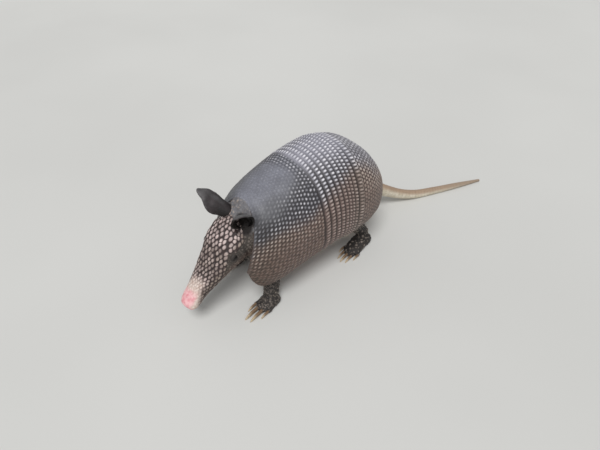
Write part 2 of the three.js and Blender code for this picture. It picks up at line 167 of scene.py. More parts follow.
# Painted light on the ears: how far the outside of each ear faces up where it turns from painted
# shade to a painted grey highlight, how grey its tip's painted sheen is, and how far along it the
# painted shade of its root ends.
EAR_LIT_FACING = {"left": (0.2, 0.7), "right": (0.8, 1.0)}
EAR_TIP_SHEEN = {"left": 0.0, "right": 0.7}
EAR_ROOT_SHADE_END = {"left": 0.45, "right": 0.60}
# Rings of an ear: place from root to tip, half width, how far round the funnel goes to each side.
EAR_RINGS = [
    (0.00, 6.3, 170),
    (0.25, 7.8, 160),
    (0.55, 9.6, 130),
    (0.80, 10.5, 108),
    (1.00, 9.2, 88),
]

# Joints of the left legs: x, y, z, radius.
FORELEG = [(14, -52, 60, 8), (21.5, -62, 38, 9.5), (26.5, -70, 23, 8.6), (32, -77, 8, 7.4)]
HINDLEG = [(20, 44, 62, 17), (24, 32, 42, 12.5), (30, 47, 22, 8.2), (33, 56, 9, 6.8)]
# Left feet: x of the middle, y of heel and toes, half width, height, and turn outwards in radians.
FOREFOOT = {"x": 33, "heel": -69, "toe": -93, "half": 8.6, "height": 10, "turn": 0.12}
HINDFOOT = {"x": 35, "heel": 63, "toe": 24, "half": 8.8, "height": 11, "turn": 0.14}
# Toes and claws of a foot: side place, forward place of the toe's end, toe radius, claw length,
# claw radius.
FORE_TOES = [
    (-7.8, 0.5, 2.5, 9, 1.7),
    (-2.7, 4.5, 2.8, 14, 2.2),
    (2.8, 4.0, 2.8, 13, 2.1),
    (7.9, -0.5, 2.5, 8, 1.6),
]
HIND_TOES = [
    (-9.4, -3.5, 2.2, 7, 1.5),
    (-4.9, 2.5, 2.4, 9.5, 1.8),
    (0.0, 4.0, 2.6, 10.5, 2.0),
    (4.9, 2.5, 2.4, 9.5, 1.8),
    (9.4, -3.5, 2.2, 7, 1.5),
]
# Foot: place from heel to toes, share of its half width, share of its height.
FOOT_RINGS = [
    (0.00, 0.50, 0.55),
    (0.16, 0.86, 0.95),
    (0.42, 0.98, 1.00),
    (0.75, 1.00, 0.72),
    (1.00, 0.80, 0.42),
]
SOLE_RISE = 0.42          # height of a foot's widest, as a share of its own
TOE_ROOT = 9              # how far back inside the foot a toe starts
FOOT_POWER = 2.6
LEGS = [
    # kind, joints, foot, toes, step of the right leg along y
    ("fore", FORELEG, FOREFOOT, FORE_TOES, 16),
    ("hind", HINDLEG, HINDFOOT, HIND_TOES, -14),
]
SIDES = [("left", 1), ("right", -1)]

# Rounds of the tail: place, x, y, z, radius.
TAIL = [
    (-0.08, 0, 66, 52, 13),
    (0.00, 0, 82, 43, 10.8),
    (0.09, 3, 99, 33.5, 8.6),
    (0.20, 9, 118, 22, 6.9),
    (0.32, 17, 137, 12, 5.8),
    (0.46, 26, 158, 5.4, 5.1),
    (0.62, 37, 184, 4.0, 4.3),
    (0.80, 49, 214, 3.2, 3.4),
    (1.00, 61, 247, 1.5, 1.6),
]
TAIL_LENGTHS = 8

# Height of the border between the grey back and the brown side, by place along the back.
BROWN_LEVEL = [
    (0.00, 74),
    (0.06, 80),
    (0.10, 84),
    (0.20, 91),
    (0.35, 92),
    (0.49, 104),
    (0.60, 107),
    (0.80, 110),
    (0.88, 99),
    (1.00, 84),
]
# Height over which the shoulder shield is worn smooth, by place along the back.
WORN_LEVEL = [
    (0.00, 90),
    (0.10, 97),
    (0.20, 105),
    (0.28, 112),
    (0.34, 124),
    (0.40, 150),
]

# ---------------------------------------------------------------- numbers, waves and cells


def smooth(stations, places):
    """Values at places: cubic pieces through the stations, each slope a weighted mean of those beside."""
    table = np.array(stations, float)
    x, v = table[:, 0], table[:, 1:]
    at = np.asarray(places, float)
    flat = at.ravel()
    h = np.diff(x)
    rise = np.diff(v, axis=0) / h[:, None]
    slope = np.vstack([rise[:1], np.zeros((len(x) - 2, v.shape[1])), rise[-1:]])
    slope[1:-1] = (rise[:-1] * h[1:, None] + rise[1:] * h[:-1, None]) / (h[1:] + h[:-1])[:, None]
    i = np.clip(np.searchsorted(x, flat, side="right") - 1, 0, len(x) - 2)
    t = ((flat - x[i]) / h[i])[:, None]
    w = h[i][:, None]
    value = v[i] * (1 + 2 * t) * (1 - t) ** 2 + slope[i] * w * t * (1 - t) ** 2
    value += v[i + 1] * t * t * (3 - 2 * t) + slope[i + 1] * w * t * t * (t - 1)
    return value.reshape(*at.shape, v.shape[1])


def ease(value, low, high):
    """0 below low, 1 above high, and an S-curve between."""
    t = np.clip((value - low) / (high - low), 0, 1)
    return t * t * (3 - 2 * t)


def rounded(value, power):
    """The cosine or sine of a superellipse: the value's size to the power 2/power, with its sign."""
    return np.sign(value) * np.abs(value) ** (2 / power)


def unit(vectors):
    """Each vector over its own length."""
    return vectors / np.linalg.norm(vectors, axis=-1, keepdims=True)


def scatter(i, j, k, seed):
    """A repeatable value from 0 to 1 for whole numbers: the fraction left of a large sine."""
    wave = np.sin(i * 127.1 + j * 311.7 + k * 74.7 + seed * 53.3) * 43758.5453
    return wave - np.floor(wave)


def noise(points, size, seed=0):
    """A smooth random field from -1 to 1: values at the corners of cubes of that size, eased between."""
    q = points / size
    base = np.floor(q)
    f = q - base
    f = f * f * (3 - 2 * f)
    total = np.zeros(points.shape[:-1])
    for corner in np.ndindex(2, 2, 2):
        weight = np.prod(np.where(np.array(corner) == 1, f, 1 - f), axis=-1)
        c = base + corner
        total += weight * scatter(c[..., 0], c[..., 1], c[..., 2], seed)
    return total * 2 - 1


def scutes(row, column, row_size, column_size, jitter=0.12, seed=0):
    """Scutes in quincunx: one in each whole row and column, odd rows half a step along.
    For each point: distance in mm to the nearest centre, how much further the next centre is
    (0 on the line between two scutes), and a random value of the nearest scute."""
    shape = np.broadcast(row, column).shape
    nearest = np.full(shape, 1e9)
    second = np.full(shape, 1e9)
    own = np.zeros(shape)
    for dr in (-1, 0, 1):
        r = np.floor(row) + dr
        offset = 0.5 * np.mod(r, 2)
        for dc in (-1, 0, 1):
            c = np.floor(column - offset) + dc
            centre_r = r + 0.5 + jitter * (scatter(r, c, 1, seed) - 0.5)
            centre_c = c + 0.5 + offset + jitter * (scatter(r, c, 2, seed) - 0.5)
            d = np.hypot((row - centre_r) * row_size, (column - centre_c) * column_size)
            closer = d < nearest
            second = np.where(closer, nearest, np.minimum(second, d))
            own = np.where(closer, scatter(r, c, 3, seed), own)
            nearest = np.where(closer, d, nearest)
    return nearest, second - nearest, own


def pebbles(points, size, seed=0):
    """Granules in space: one at a random place in each cube of that size.
    For each point: how much further the second nearest is than the nearest, over the size."""
    q = points / size
    base = np.floor(q)
    nearest = np.full(points.shape[:-1], 9.0)
    second = np.full(points.shape[:-1], 9.0)
    for corner in np.ndindex(3, 3, 3):
        c = base + np.array(corner) - 1
        cube = (c[..., 0], c[..., 1], c[..., 2])
        centre = np.stack([c[..., axis] + scatter(*cube, seed + axis) for axis in range(3)], -1)
        d = np.linalg.norm(q - centre, axis=-1)
        second = np.minimum(second, np.maximum(d, nearest))
        nearest = np.minimum(nearest, d)
    return second - nearest


# ---------------------------------------------------------------- meshes


def grid_faces(rows, columns, start=0, closed=False):
    """Four-cornered faces between the neighbours of a grid of points, closed round its columns or not."""
    r, c = np.meshgrid(np.arange(rows - 1), np.arange(columns - (0 if closed else 1)), indexing="ij")
    after = (c + 1) % columns
    corners = [r * columns + c, r * columns + after, (r + 1) * columns + after, (r + 1) * columns + c]
    return (start + np.stack(corners, -1).reshape(-1, 4)).tolist()


def strip_faces(many, few):
    """Triangles that join a line of many points to a line of fewer, each to the like place along it."""
    k = np.round(np.arange(len(many)) * (len(few) - 1) / (len(many) - 1)).astype(int)
    step = np.nonzero(np.diff(k))[0]
    first = np.stack([many[:-1], few[k[:-1]], many[1:]], -1)
    other = np.stack([many[step + 1], few[k[step]], few[k[step + 1]]], -1)
    return np.concatenate([first, other]).tolist()


def wall(outer, inner):
    """A closed wall: a fine outer grid of points, a coarser inner one, and strips along the four edges."""
    rows, columns = outer.shape[:2]
    rows_in, columns_in = inner.shape[:2]
    start = rows * columns
    o = np.arange(start).reshape(rows, columns)
    i = start + np.arange(rows_in * columns_in).reshape(rows_in, columns_in)
    faces = grid_faces(rows, columns)
    faces += [face[::-1] for face in grid_faces(rows_in, columns_in, start)]
    faces += strip_faces(o[0], i[0])
    faces += strip_faces(o[-1][::-1], i[-1][::-1])
    faces += strip_faces(o[:, -1], i[:, -1])
    faces += strip_faces(o[::-1, 0], i[::-1, 0])
    return np.concatenate([outer.reshape(-1, 3), inner.reshape(-1, 3)]), faces


def tube(rings):
    """A closed body through rings of equally many points, its two ends closed on their middles."""
    rows, columns = rings.shape[:2]
    points = np.concatenate([rings.reshape(-1, 3), rings[:1].mean(1), rings[-1:].mean(1)])
    faces = grid_faces(rows, columns, closed=True)
    turn = np.arange(columns)
    after = (turn + 1) % columns
    last = (rows - 1) * columns
    faces += np.stack([after, turn, np.full(columns, len(points) - 2)], -1).tolist()
    faces += np.stack([last + turn, last + after, np.full(columns, len(points) - 1)], -1).tolist()
    return points, faces


def bar_rings(stations, places, sides, grow=0.0):
    """Rings round a path of (place, x, y, z, radius) stations, each square to the path there."""
    values = smooth(stations, places)
    path, radius = values[:, :3], values[:, 3] + grow
    along = unit(smooth(stations, places + 0.01)[:, :3] - smooth(stations, places - 0.01)[:, :3])
    across = unit(np.array([1.0, 0, 0]) - along * along[:, :1])
    up = np.cross(along, across)
    angle = np.arange(sides) * 2 * np.pi / sides
    circle = np.cos(angle)[:, None] * across[:, None] + np.sin(angle)[:, None] * up[:, None]
    return path[:, None] + circle * radius[:, None, None]


def finished_mesh(name, points, faces):
    """A closed mesh in the model's frame from points in millimetres, its faces turned to point outwards."""
    mesh = bpy.data.meshes.new(name)
    mesh.from_pydata(to_frame(points).tolist(), [], faces)
    shape = bmesh.new()
    shape.from_mesh(mesh)
    bmesh.ops.recalc_face_normals(shape, faces=shape.faces)
    shape.to_mesh(mesh)
    shape.free()
    mesh.polygons.foreach_set("use_smooth", np.ones(len(mesh.polygons), bool))
    return mesh


def with_inside(outside, inner):
    """A wall's values, one per point: those of its outer grid, then 1 all over its inner one."""
    return np.concatenate([outside.ravel(), np.ones(inner.shape[0] * inner.shape[1])])


def linked(name, data):
    """An object of the scene that holds some data."""
    holder = bpy.data.objects.new(name, data)
    bpy.context.scene.collection.objects.link(holder)
    return holder


def add_piece(name, mesh, finish, slot, nodes=(), **fields):
    """An object of the model: its finish, a slot, which is not used, the solids it stands for, and any
    values that its finish reads, one per point."""
    piece = linked(name, mesh)
    mesh.materials.clear()
    mesh.materials.append(FINISHES[finish])
    for field, values in fields.items():
        full = np.zeros(len(mesh.vertices), np.float32)
        flat = np.asarray(values, np.float32).ravel()
        full[:len(flat)] = flat
        mesh.attributes.new(field, "FLOAT", "POINT").data.foreach_set("value", full)
    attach(piece, "root")
    if nodes:
        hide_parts(*nodes)


# ---------------------------------------------------------------- shell shape


def shell_point(place, angle):
    """A point of the ring at a place along the back. Angle 0 is the left flank, a quarter turn the ridge:
    a superellipse from the flank's line up to the ridge's, and a shallower one under the flank."""
    place, angle = np.broadcast_arrays(place, angle)
    ridge_y, ridge_z, flank_y, flank_z, half, _ = np.moveaxis(smooth(SHELL_RINGS, place), -1, 0)
    across = rounded(np.cos(angle), RING_POWER)
    up = rounded(np.sin(angle), RING_POWER)
    up = np.where((angle < 0) | (angle > np.pi), up * UNDER_FLANK, up)
    y = flank_y + up * (ridge_y - flank_y)
    z = flank_z + up * (ridge_z - flank_z)
    return np.stack([half * across, y, z], -1)


def shell_normal(place, angle):
    """The outward direction: the cross product of small steps along the back and round the ring."""
    d = 0.004
    along = shell_point(place + d, angle) - shell_point(place - d, angle)
    around = shell_point(place, angle + d) - shell_point(place, angle - d)
    return unit(np.cross(along, around))


def shell_grid(places, columns):
    """Angles of evenly spaced points on the rings at some places, left rim to right rim, and how far each
    point is from the ridge along its ring, in mm, positive on the right."""
    rim = np.radians(smooth(SHELL_RINGS, places)[:, -1])
    fine = np.linspace(-rim, np.pi + rim, 601, axis=1)
    step = np.linalg.norm(np.diff(shell_point(places[:, None], fine), axis=1), axis=-1)
    run = np.concatenate([np.zeros((len(places), 1)), np.cumsum(step, axis=1)], axis=1)
    share = np.linspace(0, 1, columns)
    angles = np.stack([np.interp(share * r[-1], r, a) for r, a in zip(run, fine)])
    return angles, (share - 0.5) * run[:, -1:]


def shell_inside(places, columns, depth):
    """A grid of points inside the shell, each a depth in from its outer surface."""
    angles, _ = shell_grid(places, columns)
    grid = np.broadcast_to(places[:, None], angles.shape)
    return shell_point(grid, angles) - shell_normal(grid, angles) * depth


def back_length(places):
    """Distance along the shell from its front edge, half way up its side, in mm."""
    fine = np.linspace(0, 1, 400)
    points = shell_point(fine, np.full(400, np.pi / 4))
    run = np.concatenate([[0], np.cumsum(np.linalg.norm(np.diff(points, axis=0), axis=1))])
    return np.interp(places, fine, run)


def near_edge(count, step):
    """Distance in mm of each of a line of evenly spaced points from the nearer end of the line."""
    return np.minimum(np.arange(count), np.arange(count)[::-1]) * step


def rim_fall(columns, reach):
    """1 at either rim of a sheet's rows, falling to 0 within a reach in mm."""
    return 1 - ease(near_edge(columns, RIM_STEP), 0, reach)


def low_side(points, place):
    """0 on the grey upper back, 1 on the brown lower side, with an uneven border between; and how far
    the scutes' contrast has faded below that border."""
    border = smooth(BROWN_LEVEL, place)[..., 0]
    level = points[..., 2] - border + 4 * noise(points, 13, 3) + 2.5 * noise(points, 4, 13)
    return 1 - ease(level, -12, 8), 1 - ease(level, -30, -4)


def back_sheen(points, place):
    """1 along the top of the back, falling to 0 part of the way down the flank: where the shell gets a
    painted sheen, and weaker painted shade in its grooves.
    """
    aside = np.abs(points[..., 0]) / smooth(SHELL_RINGS, place)[..., 4]
    return 1 - ease(aside + 0.06 * noise(points, 12, 17), 0.12, 0.76)


def shield_sheet(name, finish, places, columns, row, column, worn, thin_front):
    """A shield: a wall that follows the shell. Each scute has a low round dome, with the ground sunk
    between domes. row and column give each point's place among the scutes, both bent a little by a
    slow noise. worn is 1 where domes are rubbed flat, and thin_front thins the front margin, in mm."""
    angles, _ = shell_grid(places, columns)
    grid_place = np.broadcast_to(places[:, None], angles.shape)
    points = shell_point(grid_place, angles)
    normals = shell_normal(grid_place, angles)
    row = row + 0.14 * noise(points, 11, 41) + 0.12 * noise(points, 4.5, 42)
    column = column + 0.18 * noise(points, 11, 43) + 0.12 * noise(points, 4.5, 44)
    near, gap, own = scutes(row, column, SHIELD_ROW, SHIELD_COLUMN, 0.0, 5)
    flat = worn(points, grid_place)
    dome = np.sqrt(np.clip(1 - (near / DOME_RADIUS) ** 2, 0, 1))
    between = 1 - ease(gap, 0, 0.5)
    relief = (DOME_HEIGHT * dome - GROOVE_DEPTH * between) * (1 - 0.75 * flat) * (0.75 + 0.25 * own)
    relief += 0.35 * noise(points, 23, 8) + 0.12 * noise(points, 6, 9) - 0.22
    length = back_length(places)
    end = near_edge(len(places), length[-1] / len(places))
    relief -= 0.9 * rim_fall(columns, 1.5) ** 2
    relief -= thin_front * (1 - ease(length, 0, 11))[:, None] ** 1.5
    relief -= 0.8 * (1 - ease(end, 0, 1.2))[:, None] ** 2
    outer = points + normals * relief[..., None]
    inner = shell_inside(np.linspace(places[0], places[-1], 14), 60, PLATE - 0.2)
    mesh = finished_mesh(name, *wall(outer, inner))
    low, faded = low_side(points, grid_place)
    low, faded, flat = (with_inside(values, inner) for values in (low, faded, flat))
    # high carries the painted sheen along the top of the back.
    add_piece(name, mesh, finish, "shell", (name,), row=row, column=column, low=low, faded=faded,
              worn=flat, rear=ease(grid_place, 0.06, 0.30), high=back_sheen(points, grid_place))


def make_shields():
    """The shield over the shoulders, whose scutes keep their spacing, and the one over the hips, whose
    scutes narrow together towards the tail."""
    def shoulder_worn(points, place):
        height = points[..., 2] + 5 * noise(points, 15, 2)
        border = smooth(WORN_LEVEL, place)[..., 0]
        front_edge = 1 - ease(place + 0.006 * noise(points, 7, 6), 0.006, 0.022)
        return np.maximum(ease(height - border, -9, 7), front_edge)

    def hip_worn(points, place):
        return 0.35 * (1 - ease(points[..., 2], 58, 82)) + 0 * place

    rows, columns = 150, 480
    places = np.linspace(0.0, BANDS_START + 0.006, rows)
    _, around = shell_grid(places, columns)
    length = back_length(places)
    row = ((length - length[-1]) / SHIELD_ROW)[:, None]
    shield_sheet("scapular_shield", "shoulders", places, columns, row, around / SHIELD_COLUMN,
                 shoulder_worn, 1.3)

    places = np.linspace(BANDS_END - 0.010, 1.0, rows)
    _, around = shell_grid(places, columns)
    row = (back_length(places) / SHIELD_ROW)[:, None]
    column = around / (2 * around[:, -1:]) * HIP_SCUTES
    shield_sheet("pelvic_shield", "hips", places, columns, row, column, hip_worn, 0.0)


def make_band(index):
    """A band: a strip of the shell that rises from under the one in front to a rounded rear edge, over
    the next. Its scutes lie side by side, each with a raised oval tip and a groove each side."""
    name = f"band_{index + 1}"
    rows, columns = 18, 520
    start = BANDS_START + index * BAND_WIDTH
    share = np.linspace(0, 1, rows)[:, None]
    _, around = shell_grid(np.full(1, start + BAND_WIDTH / 2), columns)
    drift = noise(np.stack([around, around, around], -1), 9, index)
    column = around / BAND_SCUTE + 0.5 * (index % 2) + 0.10 * drift
    beside = np.abs(column - np.floor(column) - 0.5) * 2
    own = scatter(np.floor(column), index, 0, 4)
    front, rear = start - 0.010, start + BAND_WIDTH + 0.005
    place = front + (rear - front) * share - 0.0030 * (beside ** 2) * share
    angles, _ = shell_grid(place[:, 0], columns)
    points = shell_point(place, angles)
    normals = shell_normal(place, angles)
    groove = ease(beside, 0.70, 1.0) * ease(share, 0.1, 0.5)
    tip = 1 - ease(np.hypot((share - 0.74) / 0.26, beside / 0.72), 0.35, 1.0)
    relief = -1.2 + 1.9 * share ** 0.8 - 0.34 * groove + 0.32 * tip * (0.7 + 0.3 * own)
    relief -= 0.9 * ease(share, 0.9, 1.0) ** 2
    relief = relief - 0.8 * rim_fall(columns, 1.3) ** 2 + 0.25 * noise(points, 20, 8)
    outer = points + normals * relief[..., None]
    depth = np.linspace(PLATE, PLATE - 1.0, 4)[:, None, None]
    inner = shell_inside(np.linspace(front, rear - 0.002, 4), 60, depth)
    mesh = finished_mesh(name, *wall(outer, inner))
    low, _ = low_side(points, place)
    low, share = (with_inside(values + 0 * angles, inner) for values in (low, share))
    # high carries the painted sheen along the top of the back.
    add_piece(name, mesh, "bands", "bands", (name,), column=column + 200 * index + 0 * place,
              share=share, low=low, rear=ease(place, 0.62, 0.80),
              high=back_sheen(points, place + 0 * angles))


# ---------------------------------------------------------------- head shape

HEAD_FORWARD = np.array([
    math.sin(HEAD_YAW) * math.cos(HEAD_PITCH),
    -math.cos(HEAD_YAW) * math.cos(HEAD_PITCH),
    -math.sin(HEAD_PITCH),
])
HEAD_LEFT = np.array([math.cos(HEAD_YAW), math.sin(HEAD_YAW), 0])
HEAD_UP = np.cross(HEAD_FORWARD, HEAD_LEFT)
HEAD_AXES = np.stack([HEAD_FORWARD, HEAD_LEFT, HEAD_UP])

# Swellings and hollows of the head: forward, to either side, up, reach, height.
HEAD_FORM = [
    (33, 15.0, 11.5, 7, 0.9),     # brow
    (37, 19.5, 5.5, 5.0, -0.4),   # eye socket
    (22, 20.0, -5.0, 11, 1.6),    # cheek
    (12, 13.0, -15.0, 10, 1.2),   # angle of the jaw
    (46, 16.5, 1.0, 9, -0.8),     # hollow in front of the eye
    (60, 0.0, 11.0, 13, -0.9),    # bridge of the snout
    (6, 17.0, 8.0, 7, -0.7),      # temple
    (94, 5.5, 0.0, 5, 0.7),       # side of the nose pad
]


def in_head(forward, left, up):
    """Points from the head's own measures: forward to the nose, to its left, and up from the forehead."""
    ways = ((forward, HEAD_FORWARD), (left, HEAD_LEFT), (up, HEAD_UP))
    return HEAD_BASE + sum(measure[..., None] * way for measure, way in ways)


def head_measures(points):
    """The head's own measures (forward, left, up) of some points."""
    return (points - HEAD_BASE) @ HEAD_AXES.T


def head_point(place, angle, grow=0.0):
    """A point of the head's plain form: a superellipse, flatter below than above, about the head's axis."""
    half, over, under = np.moveaxis(smooth(HEAD_RINGS, place), -1, 0)
    s = np.sin(angle)
    tall = np.where(s > 0, over, under) + grow
    return in_head(place * HEAD_LENGTH, rounded(np.cos(angle), HEAD_POWER) * (half + grow),
                   rounded(s, HEAD_POWER) * tall)


def head_surface(place, angle):
    """The head with its swellings and hollows: the plain form moved along its normal by round hills."""
    place, angle = np.broadcast_arrays(place, angle)
    points = head_point(place, angle)
    d = 0.003
    along = head_point(place + d, angle) - head_point(place - d, angle)
    around = head_point(place, angle + d) - head_point(place, angle - d)
    normals = unit(np.cross(around, along))
    outward = np.sum(normals * (points - in_head(place * HEAD_LENGTH, 0 * place, 0 * place)), -1)
    normals = normals * np.sign(outward)[..., None]
    measures = head_measures(points)
    measures[..., 1] = np.abs(measures[..., 1])
    offset = np.zeros(place.shape)
    for forward, side, up, reach, height in HEAD_FORM:
        away = np.linalg.norm(measures - np.array([forward, side, up]), axis=-1)
        offset += height * np.exp(-(away / reach) ** 2)
    return points + normals * offset[..., None], normals


def snout_fields(points):
    """How cream and how pink the snout is, from 0 to 1: both set in sooner on top than on its sides."""
    forward, side, up = np.moveaxis(head_measures(points), -1, 0)
    turn = np.degrees(np.arctan2(up, np.abs(side)))
    top = ease(turn, -25, 60)
    cream = ease(forward + 4 * noise(points, 6, 51), 86 - 21 * top, 99 - 18 * top)
    pink = ease(forward + 2 * noise(points, 5, 52), 79, 88) * ease(turn + 12 * noise(points, 5, 53), 22, 52)
    return cream, np.maximum(pink, ease(forward, 95, 98) * ease(turn, -30, 20))


def eye_centre(side):
    """The middle of an eye: the head's surface at the eye's place, moved in towards the head's axis."""
    angle = EYE["angle"] if side > 0 else math.pi - EYE["angle"]
    surface = head_point(np.array(EYE["place"]), np.array(angle))
    middle = HEAD_BASE + EYE["place"] * HEAD_LENGTH * HEAD_FORWARD
    return surface + unit(middle - surface) * EYE["sunk"]


def eye_distance(points):
    """How far each point is from the middle of the nearer eye, in mm."""
    return np.min([np.linalg.norm(points - eye_centre(side), axis=-1) for _, side in SIDES], axis=0)


# The model's frame: the animal's own moved so that its middle is over the origin, in metres.
low_corner, high_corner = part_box("eye_left")
SHIFT = (np.array(low_corner) + np.array(high_corner)) / 2 * 1000 - eye_centre(1)


def to_frame(points):
    """Points in millimetres moved into the model's frame, in metres."""
    return (np.asarray(points, float) + SHIFT) / 1000


# ---------------------------------------------------------------- finishes


def colour(red, green, blue):
    """A shade given in everyday 0 to 255 values, as the linear values that a shader takes."""
    shares = [level / 255 for level in (red, green, blue)]
    return (*(s / 12.92 if s <= 0.04045 else ((s + 0.055) / 1.055) ** 2.4 for s in shares), 1.0)


class Finish:
    """A material put together step by step from nodes."""

    def __init__(self, name, roughness):
        self.material = bpy.data.materials.new(name)
        self.material.use_nodes = True
        self.tree = self.material.node_tree
        self.shader = self.tree.nodes["Principled BSDF"]
        self.shader.inputs["Roughness"].default_value = roughness
        self.coordinates = self.tree.nodes.new("ShaderNodeTexCoord").outputs["Object"]

    def set(self, node, key, value):
        """Links an output to an input, or sets the input's own value."""
        if isinstance(value, bpy.types.NodeSocket):
            self.tree.links.new(value, node.inputs[key])
        else:
            node.inputs[key].default_value = value

    def add(self, kind, output, inputs, **settings):
        """One output of a new node of some kind, with its settings and inputs."""
        node = self.tree.nodes.new("ShaderNode" + kind)
        for key, value in settings.items():
            setattr(node, key, value)
        for key, value in inputs.items():
            self.set(node, key, value)
        return node.outputs[output]

    def field(self, name):
        """The piece's own values of that name."""
        return self.add("Attribute", "Fac", {}, attribute_name=name)

    def math(self, operation, a, b=0.5):
        return self.add("Math", 0, {0: a, 1: b}, operation=operation)

    def plus(self, a, b):
        return self.math("ADD", a, b)

    def minus(self, a, b):
        return self.math("SUBTRACT", a, b)

    def rest(self, value):
        """What a value leaves of 1."""
        return self.minus(1.0, value)

    def most(self, a, b):
        return self.math("MAXIMUM", a, b)

    def times(self, *values):
        product = values[0]
        for value in values[1:]:
            product = self.math("MULTIPLY", product, value)
        return product

    def length(self, x, y):
        """The distance of a flat place from its origin."""
        return self.math("SQRT", self.plus(self.times(x, x), self.times(y, y)))

    def ease(self, value, low, high):
        """0 below low, 1 above high, and an S-curve between."""
        inputs = {"Value": value, "From Min": low, "From Max": high}
        return self.add("MapRange", "Result", inputs, interpolation_type="SMOOTHSTEP")

    def fall(self, value, low, high):
        """1 below low, 0 above high, and an S-curve between."""
        return self.rest(self.ease(value, low, high))

    def noise(self, size, detail=3.0, low=0.3, high=0.7, stretch=(1, 1, 1)):
        """Cloudy noise with features of about that size in metres, times stretch along each axis."""
        steps = tuple(size * s for s in stretch)
        place = self.add("VectorMath", "Vector", {0: self.coordinates, 1: steps}, operation="DIVIDE")
        cloud = self.add("TexNoise", "Fac", {"Vector": place, "Scale": 1.0, "Detail": detail})
        return self.ease(cloud, low, high)

    def cells(self, size):
        """Distance to the nearest of random points about that size apart, over the size."""
        return self.add("TexVoronoi", "Distance", {"Vector": self.coordinates, "Scale": 1 / size})

    def chance(self, x, y):
        """A random value from 0 to 1 for a pair of whole numbers."""
        pair = self.add("CombineXYZ", "Vector", {"X": x, "Y": y})
        return self.add("TexWhiteNoise", "Value", {"Vector": pair}, noise_dimensions="3D")

    def scutes(self, row_size, column_size):
        """The same quincunx of scutes as the shape has, from the fields row and column: the distance in
        mm to the nearest middle, how much further the next one is, and that scute's random value."""
        row, column = self.field("row"), self.field("column")
        here = self.math("FLOOR", row)
        above = self.minus(self.minus(row, here), 0.5)
        side = self.math("SIGN", above)
        found = []
        for line, away in ((here, above), (self.plus(here, side), self.minus(above, side))):
            odd = self.math("FLOORED_MODULO", line, 2.0)
            shifted = self.minus(column, self.times(odd, 0.5))
            cell = self.math("FLOOR", shifted)
            beside = self.math("ABSOLUTE", self.minus(self.minus(shifted, cell), 0.5))
            up = self.times(away, row_size)
            near = self.length(self.times(beside, column_size), up)
            next_one = self.length(self.times(self.rest(beside), column_size), up)
            found.append((near, next_one, self.chance(line, cell)))
        (own, own_next, own_chance), (other, _, other_chance) = found
        near = self.math("MINIMUM", own, other)
        second = self.math("MINIMUM", self.most(own, other), own_next)
        closer = self.math("LESS_THAN", other, own)
        chance = self.plus(self.times(closer, other_chance), self.times(self.rest(closer), own_chance))
        return near, self.minus(second, near), chance

    def mix(self, factor, a, b):
        """From shade a at factor 0 to shade b at 1; a shade is another output or three 0 to 255 values."""
        shades = [colour(*shade) if isinstance(shade, tuple) else shade for shade in (a, b)]
        return self.add("Mix", 2, {0: factor, 6: shades[0], 7: shades[1]}, data_type="RGBA")

    def clouded(self, size, a, b):
        """Shades a and b in soft clouds of about that size in metres."""
        return self.mix(self.noise(size), a, b)

    def paint(self, shade):
        self.set(self.shader, "Base Color", shade)

    def bump(self, height, strength, distance=0.0004):
        inputs = {"Height": height, "Strength": strength, "Distance": distance}
        self.set(self.shader, "Normal", self.add("Bump", "Normal", inputs))

    def shine(self, value):
        self.set(self.shader, "Roughness", value)


def shield_finish(name, tones, front, spread):
    """Weathered horn: grey on the back, where wear has left the scutes faint, and lighter along its
    top, a painted sheen; crisp pale domes on dark ground down the flank, with painted shadow in the
    corners between domes; and brown with soft tan scutes on the low side. tones holds the shades of
    its parts, its ridge shade being the painted sheen, front the shades that its front edge starts
    from instead, and spread how far from the middle of a scute its pale dome starts to fade and ends,
    in mm."""
    f = Finish(name, 0.5)
    low, faded, worn, rear, high = (f.field(field) for field in ("low", "faded", "worn", "rear", "high"))
    shades = dict(tones)
    for part, tone in front.items():
        shades[part] = f.mix(rear, tone, tones[part])
    near, gap, own = f.scutes(SHIELD_ROW, SHIELD_COLUMN)
    fresh = f.rest(worn)
    # Painted sheen: along the top of the back the top's shade lightens to the ridge shade, and the ground
    # takes the top's shade there, as it also does where the horn is worn.
    top = f.mix(high, shades["top"], shades["ridge"])
    top = f.mix(f.times(f.noise(0.011), 0.25), top, shades["flank"])
    ground = f.mix(f.most(worn, f.times(high, 0.7)), shades["flank"], top)
    brown = f.mix(f.times(f.noise(0.005), 0.35), shades["low side"], (140, 112, 100))
    ground = f.mix(low, ground, brown)

    streak = f.noise(0.0013, 3, 0.42, 0.62, (1, 2.6, 1))
    ground = f.mix(f.times(low, streak, 0.7), ground, (52, 40, 34))
    hairline = f.noise(0.0010, 2, 0.35, 0.65, (1, 1, 4))
    ground = f.mix(f.times(worn, hairline, 0.32), ground, (84, 84, 90))

    bright = f.mix(own, shades["dull dome"], shades["bright dome"])
    crown = f.mix(low, bright, f.mix(faded, (206, 190, 178), shades["tan dome"]))
    dot = f.fall(near, *spread)
    strength = f.plus(f.times(fresh, 0.95), f.times(worn, 0.20))
    strength = f.times(strength, f.rest(f.times(faded, 0.36)), f.plus(f.times(own, 0.4), 0.6))
    shade = f.mix(f.times(dot, strength), ground, crown)

    # Painted shadow in the corners and gaps between the domes, weaker where the horn is worn or faded.
    corner = f.most(f.ease(near, 1.70, 2.10), f.times(f.fall(gap, 0.0, 0.35), 0.5))
    dark = f.times(corner, f.plus(f.times(fresh, 0.9), 0.06), f.rest(f.times(faded, 0.3)))
    shade = f.mix(dark, shade, f.mix(low, (34, 33, 36), (46, 36, 31)))
    f.paint(f.mix(f.times(f.noise(0.0008, 4), 0.22), shade, (68, 63, 62)))
    f.shine(f.plus(f.times(f.noise(0.004), 0.15), 0.42))
    f.bump(f.plus(f.times(dot, fresh, 1.2), f.times(f.noise(0.0006, 4), 0.5)), 0.3)
    return f.material


